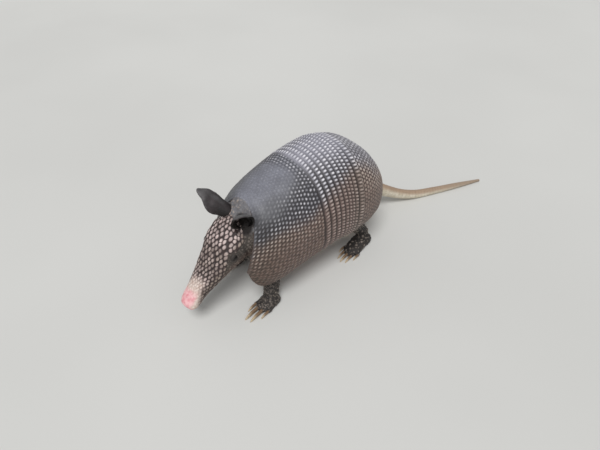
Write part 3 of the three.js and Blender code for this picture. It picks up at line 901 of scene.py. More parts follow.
def shoulder_finish():
    """Horn of the shoulder shield, darker and duller towards its front edge."""
    # The ridge shade is a painted sheen along the top of the back.
    tones = {"flank": (64, 63, 69), "top": (86, 87, 91), "ridge": (138, 140, 151),
             "low side": (112, 93, 86), "dull dome": (158, 158, 166), "bright dome": (222, 220, 226),
             "tan dome": (172, 154, 143)}
    front = {"flank": (48, 47, 50), "low side": (84, 70, 61),
             "dull dome": (128, 128, 134), "bright dome": (186, 184, 190), "tan dome": (140, 121, 107)}
    return shield_finish("shoulder horn", tones, front, (0.45, 1.30))


def hip_finish():
    """Horn of the hip shield, paler and all over alike, with wider domes."""
    # The ridge shade is a painted sheen along the top of the back.
    tones = {"flank": (118, 115, 121), "top": (150, 149, 156), "ridge": (168, 168, 176),
             "low side": (120, 105, 98), "dull dome": (158, 158, 166), "bright dome": (222, 220, 226),
             "tan dome": (172, 154, 143)}
    return shield_finish("hip horn", tones, {}, (0.75, 1.60))


def band_finish():
    """Horn of the bands: each scute has a pale oval tip near its band's rear edge, between grooves
    darkened by painted shade; nearly white on the back, where the ground is lightened by a painted
    sheen, and smaller and tan on the low side. Each band is darkened by painted shadow where it comes
    out from under the one in front, and both painted shades are weaker along the top of the back."""
    f = Finish("band horn", 0.48)
    low, rear, share, high = (f.field(field) for field in ("low", "rear", "share", "high"))
    column = f.field("column")
    cell = f.math("FLOOR", column)
    beside = f.times(f.math("ABSOLUTE", f.minus(f.minus(column, cell), 0.5)), BAND_SCUTE)
    own = f.chance(cell, 3.0)
    along = f.times(f.minus(share, f.plus(0.73, f.times(own, 0.05))), 8.0)
    away = f.length(f.math("DIVIDE", beside, 0.98), f.math("DIVIDE", along, 1.45))
    dot = f.fall(away, 0.55, 1.15)
    # Painted sheen: the ground lightens from grey to nearly white along the top of the back.
    upper = f.mix(high, (92, 90, 96), f.clouded(0.008, (158, 158, 170), (176, 175, 187)))
    brown = f.clouded(0.004, f.mix(rear, (102, 84, 77), (96, 84, 75)),
                      f.mix(rear, (130, 109, 103), (116, 104, 94)))
    ground = f.mix(low, upper, brown)
    streak = f.noise(0.0014, 3, 0.42, 0.62, (1, 2.4, 1))
    ground = f.mix(f.times(low, streak, 0.45), ground, (70, 56, 50))
    crown = f.mix(low, f.mix(own, (204, 204, 213), (244, 242, 247)),
                  f.mix(own, (160, 142, 134), (206, 188, 180)))
    ridge = f.times(f.fall(beside, 0.5, 1.2), f.ease(share, 0.45, 0.6))
    shade = f.mix(f.times(ridge, 0.25), ground, crown)
    shade = f.mix(f.times(dot, f.minus(0.95, f.times(low, 0.30))), shade, crown)
    # Painted shade in the grooves between the scutes, and painted shadow where each band comes out from
    # under the one in front, both weaker along the top of the back.
    groove = f.times(f.ease(beside, 1.25, 1.70), f.ease(share, 0.40, 0.62))
    groove = f.times(groove, f.minus(0.88, f.times(low, 0.15)), f.rest(f.times(high, 0.3)))
    shadow = f.times(f.fall(share, 0.36, 0.58), f.minus(0.94, f.times(high, 0.62)))
    shade = f.mix(f.most(groove, shadow), shade, f.mix(low, (42, 40, 44), (50, 38, 34)))
    f.paint(f.mix(f.times(f.noise(0.0008, 4), 0.2), shade, (74, 68, 66)))
    f.shine(f.plus(f.times(f.noise(0.004), 0.15), 0.40))
    f.bump(f.plus(dot, f.times(f.noise(0.0006, 4), 0.5)), 0.28)
    return f.material


def snout_shade(f, base):
    """Adds the snout's cream and its pink end, the same for the skin and for the scales on it."""
    cream = f.mix(f.noise(0.0022, 4), (206, 184, 172), (236, 222, 212))
    rose = f.clouded(0.003, (226, 148, 156), (244, 194, 196))
    return f.mix(f.field("pink"), f.mix(f.field("cream"), base, cream), rose)


def skin_finish():
    """Leathery skin: brown on the flesh, grey on the nape, nearly black on the legs, which is partly
    painted shade, and pinkish on the belly, with pale granules. Painted shade darkens its creases,
    the mouth line, the pits at the ears' roots, the skin round the eyes and the nostrils."""
    f = Finish("wrinkled skin", 0.66)
    shade = f.clouded(0.008, (72, 66, 61), (94, 86, 80))
    shade = f.mix(f.field("nape"), shade, f.clouded(0.004, (100, 99, 102), (124, 123, 127)))
    # Nearly black legs: partly their own dark skin, partly painted shade.
    shade = f.mix(f.field("leg"), shade, f.clouded(0.006, (30, 27, 25), (44, 39, 36)))
    shade = f.mix(f.field("under"), shade, f.clouded(0.010, (150, 116, 102), (178, 144, 130)))
    shade = f.mix(f.field("pale"), shade, f.clouded(0.004, (146, 134, 124), (186, 172, 160)))
    # Painted shade in the creases, along the mouth, in the ear pits and round the eyes.
    shade = f.mix(f.field("crease"), snout_shade(f, shade), (36, 30, 28))
    # Painted shade in the nostrils.
    f.paint(f.mix(f.field("hollow"), shade, (30, 12, 12)))
    f.bump(f.noise(0.0007, 4), 0.3)
    return f.material


def head_scale_finish():
    """Scales of the head: pale pinkish middles, duller down the cheeks, with dark seams between."""
    f = Finish("head scales", 0.48)
    ground = f.clouded(0.004, (50, 38, 36), (68, 53, 50))
    crown = f.clouded(0.003, (200, 178, 174), (230, 212, 207))
    crown = f.mix(f.field("dull"), crown, f.clouded(0.003, (124, 110, 98), (156, 141, 128)))
    shade = snout_shade(f, f.mix(f.field("figure"), ground, crown))
    seam = f.mix(f.field("cream"), (40, 31, 29), (150, 112, 104))
    f.paint(f.mix(f.field("seam"), shade, seam))
    f.bump(f.noise(0.0005, 4), 0.25)
    return f.material


def ear_finish():
    """Dark granular leather with painted light and shade: grey highlights where the outside faces up and on
    the tip, darker at the root underneath, and nearly black deep in the funnel, lighter on one side of the
    funnel's inside.
    """
    f = Finish("ear leather", 0.62)
    granule = f.cells(0.0014)
    outside = f.mix(f.field("root"), f.clouded(0.005, (44, 38, 40), (62, 54, 56)), (20, 17, 17))
    outside = f.mix(f.field("rim"), outside, f.clouded(0.004, (92, 91, 92), (110, 109, 110)))
    inside = f.mix(f.field("wall"), (13, 11, 10), f.clouded(0.005, (48, 42, 37), (62, 55, 49)))
    shade = f.mix(f.field("inside"), outside, inside)
    f.paint(f.mix(f.times(granule, 0.3), shade, (28, 24, 24)))
    f.bump(f.rest(granule), 0.35)
    return f.material


def eye_finish():
    """Wet and nearly black."""
    f = Finish("eye", 0.08)
    f.set(f.shader, "Specular IOR Level", 0.35)
    f.paint(f.clouded(0.002, (6, 5, 5), (14, 10, 9)))
    return f.material


def claw_finish():
    """Brown horn, paler towards the tip."""
    f = Finish("claw horn", 0.38)
    shade = f.mix(f.field("tip"), (132, 108, 84), (206, 186, 152))
    f.paint(f.mix(f.times(f.noise(0.0012), 0.5), shade, (96, 76, 58)))
    f.bump(f.noise(0.0008, 4), 0.15)
    return f.material


def tail_finish():
    """Cream scales, darker and browner underneath, a painted shade, and browner at the tip, with brown
    seams.
    """
    f = Finish("tail scales", 0.55)
    shade = f.clouded(0.006, (212, 202, 180), (230, 222, 204))
    # Painted shade under the tail.
    shade = f.mix(f.field("under"), shade, (168, 144, 122))
    shade = f.mix(f.field("tip"), shade, (160, 142, 124))
    f.paint(f.mix(f.times(f.field("seam"), 0.8), shade, (112, 94, 78)))
    f.bump(f.noise(0.0006, 4), 0.25)
    return f.material


def hair_finish():
    """Pale hairs, each with its own tone."""
    f = Finish("hair", 0.5)
    shade = f.mix(f.field("tone"), (168, 154, 138), (222, 212, 198))
    f.paint(f.mix(f.times(f.noise(0.004), 0.3), shade, (120, 104, 90)))
    return f.material


FINISHES = {
    "shoulders": shoulder_finish(),
    "hips": hip_finish(),
    "bands": band_finish(),
    "skin": skin_finish(),
    "head_scales": head_scale_finish(),
    "ears": ear_finish(),
    "eyes": eye_finish(),
    "claws": claw_finish(),
    "tail": tail_finish(),
    "hair": hair_finish(),
}

# ---------------------------------------------------------------- skin


def trunk_rings():
    """The inside of the shell closed by the belly: shell points moved in by a set depth, then a sagging
    line from rim to rim."""
    places = np.linspace(0.17, 0.985, 60)
    back = shell_inside(places, 60, PLATE + FLESH_GAP)
    share = np.linspace(0, 1, 32)[1:-1]
    belly = back[:, -1:] + (back[:, :1] - back[:, -1:]) * share[None, :, None]
    belly[..., 2] -= smooth(BELLY, places) * np.sin(np.pi * share) ** 0.7
    rings = np.concatenate([back, belly], axis=1)
    middle = rings.mean(axis=1, keepdims=True)
    ends = np.minimum(ease(places, 0.10, 0.24), 1 - 0.5 * ease(places, 0.95, 0.99))
    return middle + (rings - middle) * ends[:, None, None]


def neck_rings():
    """Flattened rounds along the neck, from inside the head to inside the trunk."""
    y = np.linspace(NECK[0][0], NECK[-1][0], 30)
    z, half, tall = smooth(NECK, y).T
    angle = np.linspace(0, 2 * np.pi, 61)[:-1]
    x = rounded(np.cos(angle), HEAD_POWER) * half[:, None]
    up = z[:, None] + rounded(np.sin(angle), HEAD_POWER) * tall[:, None]
    return np.stack([x, np.broadcast_to(y[:, None], x.shape), up], -1)


def collar_rings():
    """The nape's skin: from under the shell's front edge down to the head, flush with the shell along
    the middle of the back and deeper down its sides, with a level underside inside the neck."""
    angle = np.linspace(0, np.pi, 49)
    deep = 1.7 + 9 * (1 - ease(np.sin(angle), 0.45, 0.95))
    rings = []
    for place in (0.10, 0.06, 0.03, 0.0):
        rings.append(shell_point(place, angle) - shell_normal(place, angle) * (deep + 20 * place)[:, None])
    front = head_point(np.array(0.05), angle, -0.6)
    edge = rings[-1]
    for share in np.linspace(0, 1, 12)[1:]:
        rings.append(edge + (front - edge) * share)
    upper = np.stack(rings)
    share = np.linspace(0, 1, 20)[1:-1][:, None]
    floor = upper[:, -1:] + (upper[:, :1] - upper[:, -1:]) * share
    return np.concatenate([upper, floor], axis=1)


def head_rings():
    """The head's surface in rings, its nose end drawn in to a blunt dome."""
    dome = np.linspace(0.15, 1.5, 8)
    place = np.concatenate([np.linspace(-0.05, 0.975, 90), 0.975 + 0.025 * np.sin(dome)])
    angle = np.linspace(0, 2 * np.pi, 97)[:-1]
    points, _ = head_surface(place[:, None], angle[None])
    axis = in_head(place * HEAD_LENGTH, 0 * place, 0 * place)[:, None]
    shrink = np.concatenate([np.ones(90), np.cos(dome)])
    return axis + (points - axis) * shrink[:, None, None]


def in_foot(foot, side, shift, forward, sideways, height):
    """Points from a foot's own plan, set down where the foot stands."""
    turn = side * foot["turn"]
    x = side * foot["x"] + side * sideways * math.cos(turn) + forward * math.sin(turn)
    y = foot["heel"] + shift + side * sideways * math.sin(turn) - forward * math.cos(turn)
    return np.stack(np.broadcast_arrays(x, y, height), -1)


def leg_stations(joints, side, shift):
    """A leg's joints as stations of its path, moved along y by more and more down to the whole shift."""
    last = len(joints) - 1
    return [(i / last, side * x, y + shift * i / last, z, r) for i, (x, y, z, r) in enumerate(joints)]


def leg_bodies(joints, foot, toes, side, shift):
    """The closed bodies that make up one leg: limb, foot pad and toes."""
    bodies = [tube(bar_rings(leg_stations(joints, side, shift), np.linspace(0, 1, 20), 24, -0.2))]
    place = np.linspace(0, 1, 24)
    length = foot["heel"] - foot["toe"]
    wide, tall = smooth(FOOT_RINGS, place).T
    round_ends = np.sqrt(np.clip(1 - (np.abs(place - 0.5) * 2) ** 12, 0.05, 1))
    angle = np.linspace(0, 2 * np.pi, 33)[:-1]
    sideways = rounded(np.cos(angle), FOOT_POWER) * (wide * foot["half"] * round_ends)[:, None]
    lift = SOLE_RISE + (1 - SOLE_RISE) * rounded(np.sin(angle), FOOT_POWER)
    height = np.maximum(0.0, lift * (tall * foot["height"] * round_ends)[:, None])
    bodies.append(tube(in_foot(foot, side, shift, place[:, None] * length, sideways, height)))
    for sideways, end, radius, *_ in toes:
        steps = np.linspace(0, 1, 14)
        reach = length - TOE_ROOT + steps * (TOE_ROOT + end)
        across = sideways * (0.8 + 0.2 * steps)
        blunt = np.sqrt(np.clip(1 - steps ** 10, 0.1, 1))
        knuckle = radius * (1 + 0.10 * np.cos(steps * 4 * np.pi)) * blunt
        circle = np.linspace(0, 2 * np.pi, 17)[:-1]
        side_place = across[:, None] + np.cos(circle) * knuckle[:, None]
        high = np.maximum(0.0, radius * 0.9 + np.sin(circle) * knuckle[:, None])
        bodies.append(tube(in_foot(foot, side, shift, reach[:, None], side_place, high)))
    return bodies


def skin_bodies():
    """The closed, overlapping bodies that the one skin goes round."""
    bodies = [tube(trunk_rings()), tube(neck_rings()), tube(collar_rings()), tube(head_rings()),
              tube(bar_rings(RUMP, np.linspace(0, 1, 16), 36))]
    for _, joints, foot, toes, step in LEGS:
        for _, side in SIDES:
            bodies += leg_bodies(joints, foot, toes, side, 0 if side > 0 else step)
    return bodies


def modified(holder):
    """The mesh that an object's modifiers make. The object itself is then taken away."""
    changed = holder.evaluated_get(bpy.context.evaluated_depsgraph_get())
    mesh = bpy.data.meshes.new_from_object(changed)
    bpy.data.objects.remove(holder)
    return mesh


def one_skin(bodies, cell, soften):
    """One closed skin round overlapping closed bodies: a voxel remesh of them all, then softened."""
    points, faces = [], []
    start = 0
    for body_points, body_faces in bodies:
        points.append(body_points)
        faces += [[start + corner for corner in face] for face in body_faces]
        start += len(body_points)
    mesh = bpy.data.meshes.new("bodies")
    mesh.from_pydata(np.concatenate(points).tolist(), [], faces)
    joined = linked("bodies", mesh)
    remesh = joined.modifiers.new("skin", "REMESH")
    remesh.mode = "VOXEL"
    remesh.voxel_size = cell
    relax = joined.modifiers.new("soft", "SMOOTH")
    relax.factor = 0.5
    relax.iterations = soften
    return modified(joined)


def covered(points):
    """Whether the shell hides each point."""
    y, z = points[:, 1], points[:, 2]
    return (z > 48) & (y > -52) & (y < 62) | (z > 64) & (y >= 62) & (y < 76)


def plain(points):
    """Whether each point is on the belly or chest, which have no fine folds or granules."""
    y, z = points[:, 1], points[:, 2]
    return ~covered(points) & (y > -58) & (y < 62) & (z < 70) & (leg_weight(points) < 0.3)


def thinned(skin, region, keep):
    """The same skin with only that share of its faces in a region: a collapse weighted to its points."""
    holder = linked("skin", skin)
    chosen = region(read_vectors(skin.vertices, "co"))
    group = holder.vertex_groups.new(name="chosen")
    group.add(np.nonzero(chosen)[0].tolist(), 1.0, "REPLACE")
    collapse = holder.modifiers.new("collapse", "DECIMATE")
    collapse.vertex_group = group.name
    collapse.ratio = 1 - chosen.mean() * (1 - keep)
    return modified(holder)


def read_vectors(items, key):
    """A mesh's vectors of one kind, one row for each of its points."""
    values = np.empty(len(items) * 3, np.float32)
    items.foreach_get(key, values)
    return values.reshape(-1, 3).astype(float)


def leg_weight(points):
    """1 on the legs and feet and 0 on the trunk, by how near a point is to a leg's own path."""
    weight = np.zeros(len(points))
    for _, joints, _, _, step in LEGS:
        for _, side in SIDES:
            stations = leg_stations(joints, side, 0 if side > 0 else step)
            for value in smooth(stations, np.linspace(0.25, 1, 12)):
                away = np.linalg.norm(points - value[:3], axis=1)
                weight = np.maximum(weight, 1 - ease(away, value[3] * 1.15, value[3] * 1.5))
    return np.maximum(weight, 1 - ease(points[:, 2], 10, 16))


def in_ears(points, reach):
    """1 inside either ear's funnel, within reach of the line it grows along, and 0 away from it."""
    inside = np.zeros(points.shape[:-1])
    for word, side in SIDES:
        base, _, along, mouth, across = ear_axes(word, side)
        away = points - base
        beside = np.hypot(away @ across, (away @ mouth - 3.0) / 1.35)
        funnel = (1 - ease(beside, reach - 1.2, reach + 1.2)) * ease(away @ along, -11, -6)
        inside = np.maximum(inside, funnel)
    return inside


def folds(run, spacing):
    """Round folds along a run: the size of a sine to the power 0.6, 0 in the creases between them."""
    return np.abs(np.sin(np.pi * run / spacing)) ** 0.6


def neck_skin(points, normals, forward, legs):
    """Upright folds on the neck's sides, parallel to the shell's front edge, and a smoother grey nape
    with small pale granules. Gives how far each point is on the neck and on the nape, how much it
    rises, how much painted shade its creases get, and how pale it is."""
    neck = (1 - ease(forward, 8, 20)) * (1 - ease(points[:, 1], -62, -50)) * (1 - legs)
    nape = ease(normals[:, 2] + 0.15 * noise(points, 6, 14), 0.22, 0.55) * ease(points[:, 2], 80, 90)
    nape = nape * (1 - ease(forward, 10, 17)) * (1 - legs)
    run = points[:, 1] * 0.95 - 0.25 * forward + 3.2 * noise(points, 19, 11) + 0.9 * noise(points, 7, 12)
    fold = folds(run, NECK_FOLD)
    rise = neck * (1 - 0.85 * nape) * 1.1 * (fold - 0.8) + 0.3 * nape
    crease = neck * (1 - 0.8 * nape) * (1 - ease(fold, 0.15, 0.6)) * 0.75
    seeds = ease(pebbles(points, NAPE_GRANULE, 27), 0.18, 0.55)
    rise += nape * 0.3 * (seeds - 0.5)
    pale = nape * seeds * np.clip(0.55 + 0.75 * noise(points, 5, 15), 0, 1)
    return neck, nape, rise, crease, pale


def rump_skin(points, legs):
    """Folds in rings round the root of the tail. Gives how far each point is on the rump, how much it
    rises and how much painted shade its creases get."""
    rump = ease(points[:, 1], 66, 76) * (1 - legs)
    around_tail = np.linalg.norm(points - np.array(TAIL[1][1:4]), axis=1) + 1.5 * noise(points, 9, 18)
    fold = folds(around_tail, RUMP_FOLD)
    return rump, rump * 0.8 * (fold - 0.8), rump * 0.65 * (1 - ease(fold, 0.15, 0.6))


def leg_skin(points, normals, legs):
    """Horny granules on the legs and feet, palest where they face up, a painted highlight, and fading high
    up the legs, a painted shadow of the shell: their rise, and how pale.
    """
    grain = pebbles(points, LEG_GRANULE, 21)
    facing = 0.55 + 0.45 * noise(points, 6, 5)
    # Painted light: paler where the granules face up, and a painted shadow of the shell fading them high up
    # the leg.
    facing *= ease(normals[:, 2] + 0.75, 0.2, 0.9) * (1 - 0.8 * ease(points[:, 2], 26, 40))
    return legs * 0.45 * (ease(grain, 0.08, 0.45) - 0.6), legs * ease(grain, 0.22, 0.6) * facing * 0.8


def cheek_skin(points, forward):
    """Fine granules on the cheeks and throat: their rise, the painted shade in the creases between them,
    and how pale.
    """
    fine = ease(pebbles(points, CHEEK_GRANULE, 33), 0.06, 0.4)
    cheek = ease(forward, 6, 16) * (1 - ease(forward, 84, 92))
    pale = cheek * ease(fine, 0.55, 1.0) * (0.22 + 0.30 * ease(forward, 40, 80))
    return cheek * 0.25 * (fine - 0.6), cheek * 0.55 * (1 - fine), pale


def mouth_line(forward, side, up):
    """1 on a line along each side of the snout, under its widest, falling off to either side of it."""
    half, _, under = smooth(HEAD_RINGS, np.clip(forward / HEAD_LENGTH, 0, 1)).T
    below = np.arctan2(up / under, np.abs(side) / half) + MOUTH_DOWN
    line = np.exp(-(below * half / MOUTH_WIDTH) ** 2)
    return line * ease(forward, 50, 56) * (1 - ease(forward, 96, 98))


def lid_skin(points):
    """Ringed folds round the eyelids: their rise, and the painted shade in the creases between them and
    round the eye.
    """
    eye = eye_distance(points)
    wave = 0.5 + 0.5 * np.cos(2 * np.pi * (eye + 0.5 * noise(points, 4, 16)) / LID_FOLD)
    ring = (1 - ease(eye, 5.5, 7.5)) * wave
    return 0.3 * ring, 0.7 * (1 - ease(eye, 5.0, 7.5)) * (1 - 0.7 * ring)


def nostrils(measures):
    """1 in the middle of either round nostril, in the front of the nose pad, and 0 past its rim."""
    hollow = np.zeros(len(measures))
    forward, aside, up = NOSTRIL
    for _, side in SIDES:
        away = (measures - np.array([forward, side * aside, up])) * (0.6, 1, 0.85)
        hollow = np.maximum(hollow, 1 - ease(np.linalg.norm(away, axis=1), 0.7, 2.0))
    return hollow


def make_skin():
    """All the flesh under one skin, with its folds, creases and granules moved along its normals.
    Gives the skin's points, and the directions they faced before that."""
    skin = one_skin(skin_bodies(), SKIN_CELL, SKIN_SOFTENING)
    skin = thinned(skin, covered, COVERED_SHARE)
    skin = thinned(skin, plain, PLAIN_SHARE)
    points = read_vectors(skin.vertices, "co")
    normals = read_vectors(skin.vertex_normals, "vector")
    measures = head_measures(points)
    forward, side, up = measures.T
    legs = leg_weight(points)
    neck, nape, neck_rise, neck_crease, nape_pale = neck_skin(points, normals, forward, legs)
    rump, rump_rise, rump_crease = rump_skin(points, legs)
    leg_rise, leg_pale = leg_skin(points, normals, legs)
    cheek_rise, cheek_crease, cheek_pale = cheek_skin(points, forward)
    lid_rise, lid_crease = lid_skin(points)
    mouth = mouth_line(forward, side, up)
    pit = in_ears(points, EAR_PIT)

    rise = neck_rise + rump_rise + leg_rise + cheek_rise + lid_rise
    rise += 0.35 * noise(points, 9, 1) + 0.12 * noise(points, 2.2, 2)
    rise -= EAR_PIT_DEPTH * pit + MOUTH_DEPTH * mouth
    # Painted shade: in the creases of the folds, along the mouth, in the ear pits and round the eyes.
    crease = np.max([neck_crease, rump_crease, cheek_crease, 0.85 * mouth, pit, lid_crease], axis=0)
    pale = np.max([nape_pale * (1 - pit), leg_pale, cheek_pale], axis=0)
    hollow = nostrils(measures)
    points += normals * rise[:, None]
    points -= hollow[:, None] * NOSTRIL_DEPTH * HEAD_FORWARD
    points[:, 2] = np.maximum(points[:, 2], 0.0)

    skin.vertices.foreach_set("co", to_frame(points).astype(np.float32).ravel())
    skin.polygons.foreach_set("use_smooth", np.ones(len(skin.polygons), bool))
    cream, pink = snout_fields(points)
    belly = ease(-normals[:, 2], -0.1, 0.5) * (1 - legs)
    belly = belly * (1 - neck * 0.6) * (1 - ease(forward, 10, 30) * 0.5)
    under = np.maximum(belly * 0.75, rump * 0.45)
    nodes = ["trunk", "neck", "head"]
    nodes += [f"{kind}{part}_{word}" for kind, *_ in LEGS for part in ("leg", "foot") for word, _ in SIDES]
    add_piece("skin", skin, "skin", "skin", nodes, under=under, pale=pale, pink=pink, cream=cream,
              crease=crease, hollow=hollow, nape=nape, leg=legs)
    return points, normals


# ---------------------------------------------------------------- head pieces


def make_head_scales():
    """Large uneven scales over the crown, cheeks and snout: each a pillow longer than wide, paler than
    the skin in its dark grooves, smaller towards the nose and duller down the cheeks. The sheet sinks
    into the skin past its last scales."""
    rows, columns = 264, 240
    place = np.linspace(0.015, 0.955, rows)[:, None]
    angle = np.linspace(math.radians(-26), math.radians(206), columns)[None]
    surface, normals = head_surface(place, angle)
    small = 0.78 + 0.22 * ease(place, 0.06, 0.26)
    row_step = small * (4.2 - 1.7 * ease(place, 0.35, 0.90))
    column_step = small * (4.7 - 2.0 * ease(place, 0.30, 0.90))
    row_gap = (place[-1] - place[0]) * HEAD_LENGTH / (rows - 1)
    run = np.cumsum(np.full((rows, 1), row_gap) / row_step, axis=0)
    step = np.linalg.norm(np.diff(surface, axis=1), axis=-1)
    around = np.concatenate([np.zeros((rows, 1)), np.cumsum(step, axis=1)], axis=1)
    around -= around[:, columns // 2:columns // 2 + 1]
    bend = 0.22 * noise(surface, 9, 61)
    column = around / column_step + 0.7 * bend
    near, gap, own = scutes(run + bend, column, row_step * 0.66, column_step, 0.42, 7)
    size = column_step / 4.9
    pillow = np.sqrt(np.clip(1 - (near / (2.4 * size)) ** 2, 0, 1)) * ease(gap / size, 0.0, 0.7)
    level = np.degrees(angle)
    low_edge = 26 - 42 * ease(place, 0.40, 0.68)
    inside = np.minimum(level - low_edge, 180 - low_edge - level) + 6 * (own - 0.5)
    scaled = ease(inside, -3, 5) * ease(eye_distance(surface), 4.4, 6.2)
    scaled = scaled * ease(place + 0.02 * own, 0.04, 0.08)
    scaled = scaled * (1 - ease(place, 0.88, 0.945)) * (1 - in_ears(surface, EAR_ROOT_REACH))
    raised = 0.25 + 0.85 * pillow * size * (1 - 0.5 * ease(place, 0.68, 0.86))
    relief = scaled * raised - 0.9 * (1 - scaled)
    outer = surface + normals * relief[..., None]
    few_rows = np.linspace(0, rows - 1, 11).astype(int)
    few_columns = np.linspace(0, columns - 1, 11).astype(int)
    inner = (surface - normals * 1.6)[np.ix_(few_rows, few_columns)]
    mesh = finished_mesh("head_shield", *wall(outer, inner))
    cream, pink = snout_fields(surface)
    dull = 0.85 * ease(np.abs(level - 90) + 14 * (own - 0.5), 32, 66)
    dull = np.maximum(dull, 0.6 * (1 - ease(place, 0.05, 0.13)))
    middle = ease(place, 0.32, 0.42) * (1 - ease(place, 0.56, 0.70))
    dull = np.maximum(dull, 0.72 * middle * (0.6 + 0.4 * own))
    figure = (1 - ease(near / size, 0.90, 1.80)) * (0.50 + 0.50 * scatter(np.round(own * 97), 1, 1, 8))
    seam = (1 - ease(gap / size, 0.10, 0.55)) * (1 - 0.8 * ease(place, 0.70, 0.88))
    add_piece("head_shield", mesh, "head_scales", "head_scales", ("head_shield",),
              figure=figure, seam=seam, cream=cream, pink=pink, dull=np.clip(dull, 0, 1))


def about_eye(side, radius, tilt, turn):
    """Points round an eye, at a radius from its middle: along the way it looks by the cosine of the
    tilt, and away from that by its sine, shared between ahead and up by the turn."""
    centre = eye_centre(side)
    out = unit(centre - (HEAD_BASE + EYE["place"] * HEAD_LENGTH * HEAD_FORWARD))
    ahead = unit(HEAD_FORWARD - out * (HEAD_FORWARD @ out))
    high = np.cross(out, ahead) * side * -1
    way = np.cos(tilt)[..., None] * out + (np.sin(tilt) * np.cos(turn))[..., None] * ahead
    way = way + (np.sin(tilt) * np.sin(turn))[..., None] * high
    return centre + np.asarray(radius)[..., None] * way


def make_eyes():
    """Each eye a ball, with a raised lid round it: a ring that runs from the slit out into the skin."""
    radius, columns = EYE["radius"], 64
    for word, side in SIDES:
        tilt = np.linspace(0, np.pi, 25)[:, None]
        ball = about_eye(side, radius, tilt, np.linspace(0, 2 * np.pi, 41)[None, :-1])
        mesh = finished_mesh(f"eye_{word}", *tube(ball[1:-1]))
        add_piece(f"eye_{word}", mesh, "eyes", "eyes", (f"eye_{word}",))

        turn = np.linspace(0, 2 * np.pi, columns + 1)[:-1]
        slit = 1 - 0.58 * np.abs(np.sin(turn)) ** 1.1
        across = np.linspace(0, 1, 9)[:, None]
        tilt = np.radians(50 * slit + across * (98 - 50 * slit))
        raised = radius + 0.25 + 0.45 * np.sin(np.pi * across) * (1 + 0.5 * (np.sin(turn) > 0))
        sheet = np.concatenate([raised, np.full((3, columns), radius + 0.1)])
        lid = about_eye(side, sheet, np.concatenate([tilt, tilt[[-1, 4, 0]]]), turn)
        rows = len(lid)
        faces = grid_faces(rows + 1, columns, closed=True)
        faces = [[corner % (rows * columns) for corner in face] for face in faces]
        mesh = finished_mesh(f"lids_{word}", lid.reshape(-1, 3), faces)
        # The lids get painted shade, darkest next to the eye.
        add_piece(f"lids_{word}", mesh, "skin", "skin", crease=0.9 - 0.4 * np.repeat(across, columns))


def ear_axes(word, side):
    """Where an ear starts, its length, the way it points, the way its mouth faces, and the way across."""
    length, (outward, upward, forward), mouth = EAR_HELD[word]
    base = in_head(np.array(EAR["place"] * HEAD_LENGTH), np.array(side * EAR["side"]), np.array(EAR["up"]))
    along = unit(HEAD_LEFT * outward * side + HEAD_UP * upward + HEAD_FORWARD * forward)
    mouth = np.array(mouth) * (side, 1, 1)
    mouth = unit(mouth - along * (mouth @ along))
    return base, length, along, mouth, np.cross(along, mouth)


def make_ears():
    """Each ear a thin leathery funnel: rings round the line from base to tip, open towards the front,
    cut aslant so that the tip is at the back, with slight waves and a thin edge."""
    thick = EAR["thick"]
    for word, side in SIDES:
        base, length, along, mouth, across = ear_axes(word, side)
        place = np.linspace(-0.12, 1, 80)[:, None]
        spread = np.linspace(-1, 1, 120)[None]
        half, wrap = np.moveaxis(smooth(EAR_RINGS, place), -1, 0)
        angle = spread * np.radians(wrap) * (1 - 0.4 * ease(place, 0.6, 1.0))
        height = length * place * (1 - EAR["slant"] * np.where(place > 0, spread ** 2, 0))
        edge = np.minimum((1 - place) * length, (1 - np.abs(spread)) * half * 2.4)
        wave = 0.35 * np.sin(height * 0.55 + 2 * spread) * ease(place, 0.2, 0.6)

        def sheet(inset):
            radius = half - inset + wave
            pull = -np.cos(angle) * radius * EAR["depth"]
            return (base + height[..., None] * along + pull[..., None] * mouth
                    + (np.sin(angle) * radius)[..., None] * across)

        thin = 0.5 * (1 - ease(edge, 0, 1.6)) * thick
        mesh = finished_mesh(f"ear_{word}", *wall(sheet(thin), sheet(thick - 0.6 * thin)))
        # Painted light and shade: the outside grey where it faces up and at the tip, dark at the root's
        # underside; the inside nearly black, lighter on one side wall.
        facing = np.cos(angle) * -mouth[2] + np.sin(angle) * across[2]
        rim = ease(facing, *EAR_LIT_FACING[word]) * ease(place, 0.1, 0.4) * ease(edge, 0.8, 4.0)
        rim = np.maximum(rim, EAR_TIP_SHEEN[word] * ease(place, 0.5, 0.95))
        root = (1 - ease(place, 0.15, EAR_ROOT_SHADE_END[word])) * (1 - ease(facing, 0.5, 1.1))
        inwards = np.sign(across @ HEAD_LEFT) * -side
        inner_wall = ease(np.sin(angle) * inwards, 0.0, 0.75) * np.ones_like(height)
        margin = 0.5 * (1 - ease(edge, 0.3, 2.0))
        outside = np.zeros(edge.shape)
        add_piece(f"ear_{word}", mesh, "ears", "ears", (f"ear_{word}",), rim=rim, root=root,
                  inside=np.concatenate([outside, 1 - margin]), wall=np.concatenate([outside, inner_wall]))


# ---------------------------------------------------------------- hairs


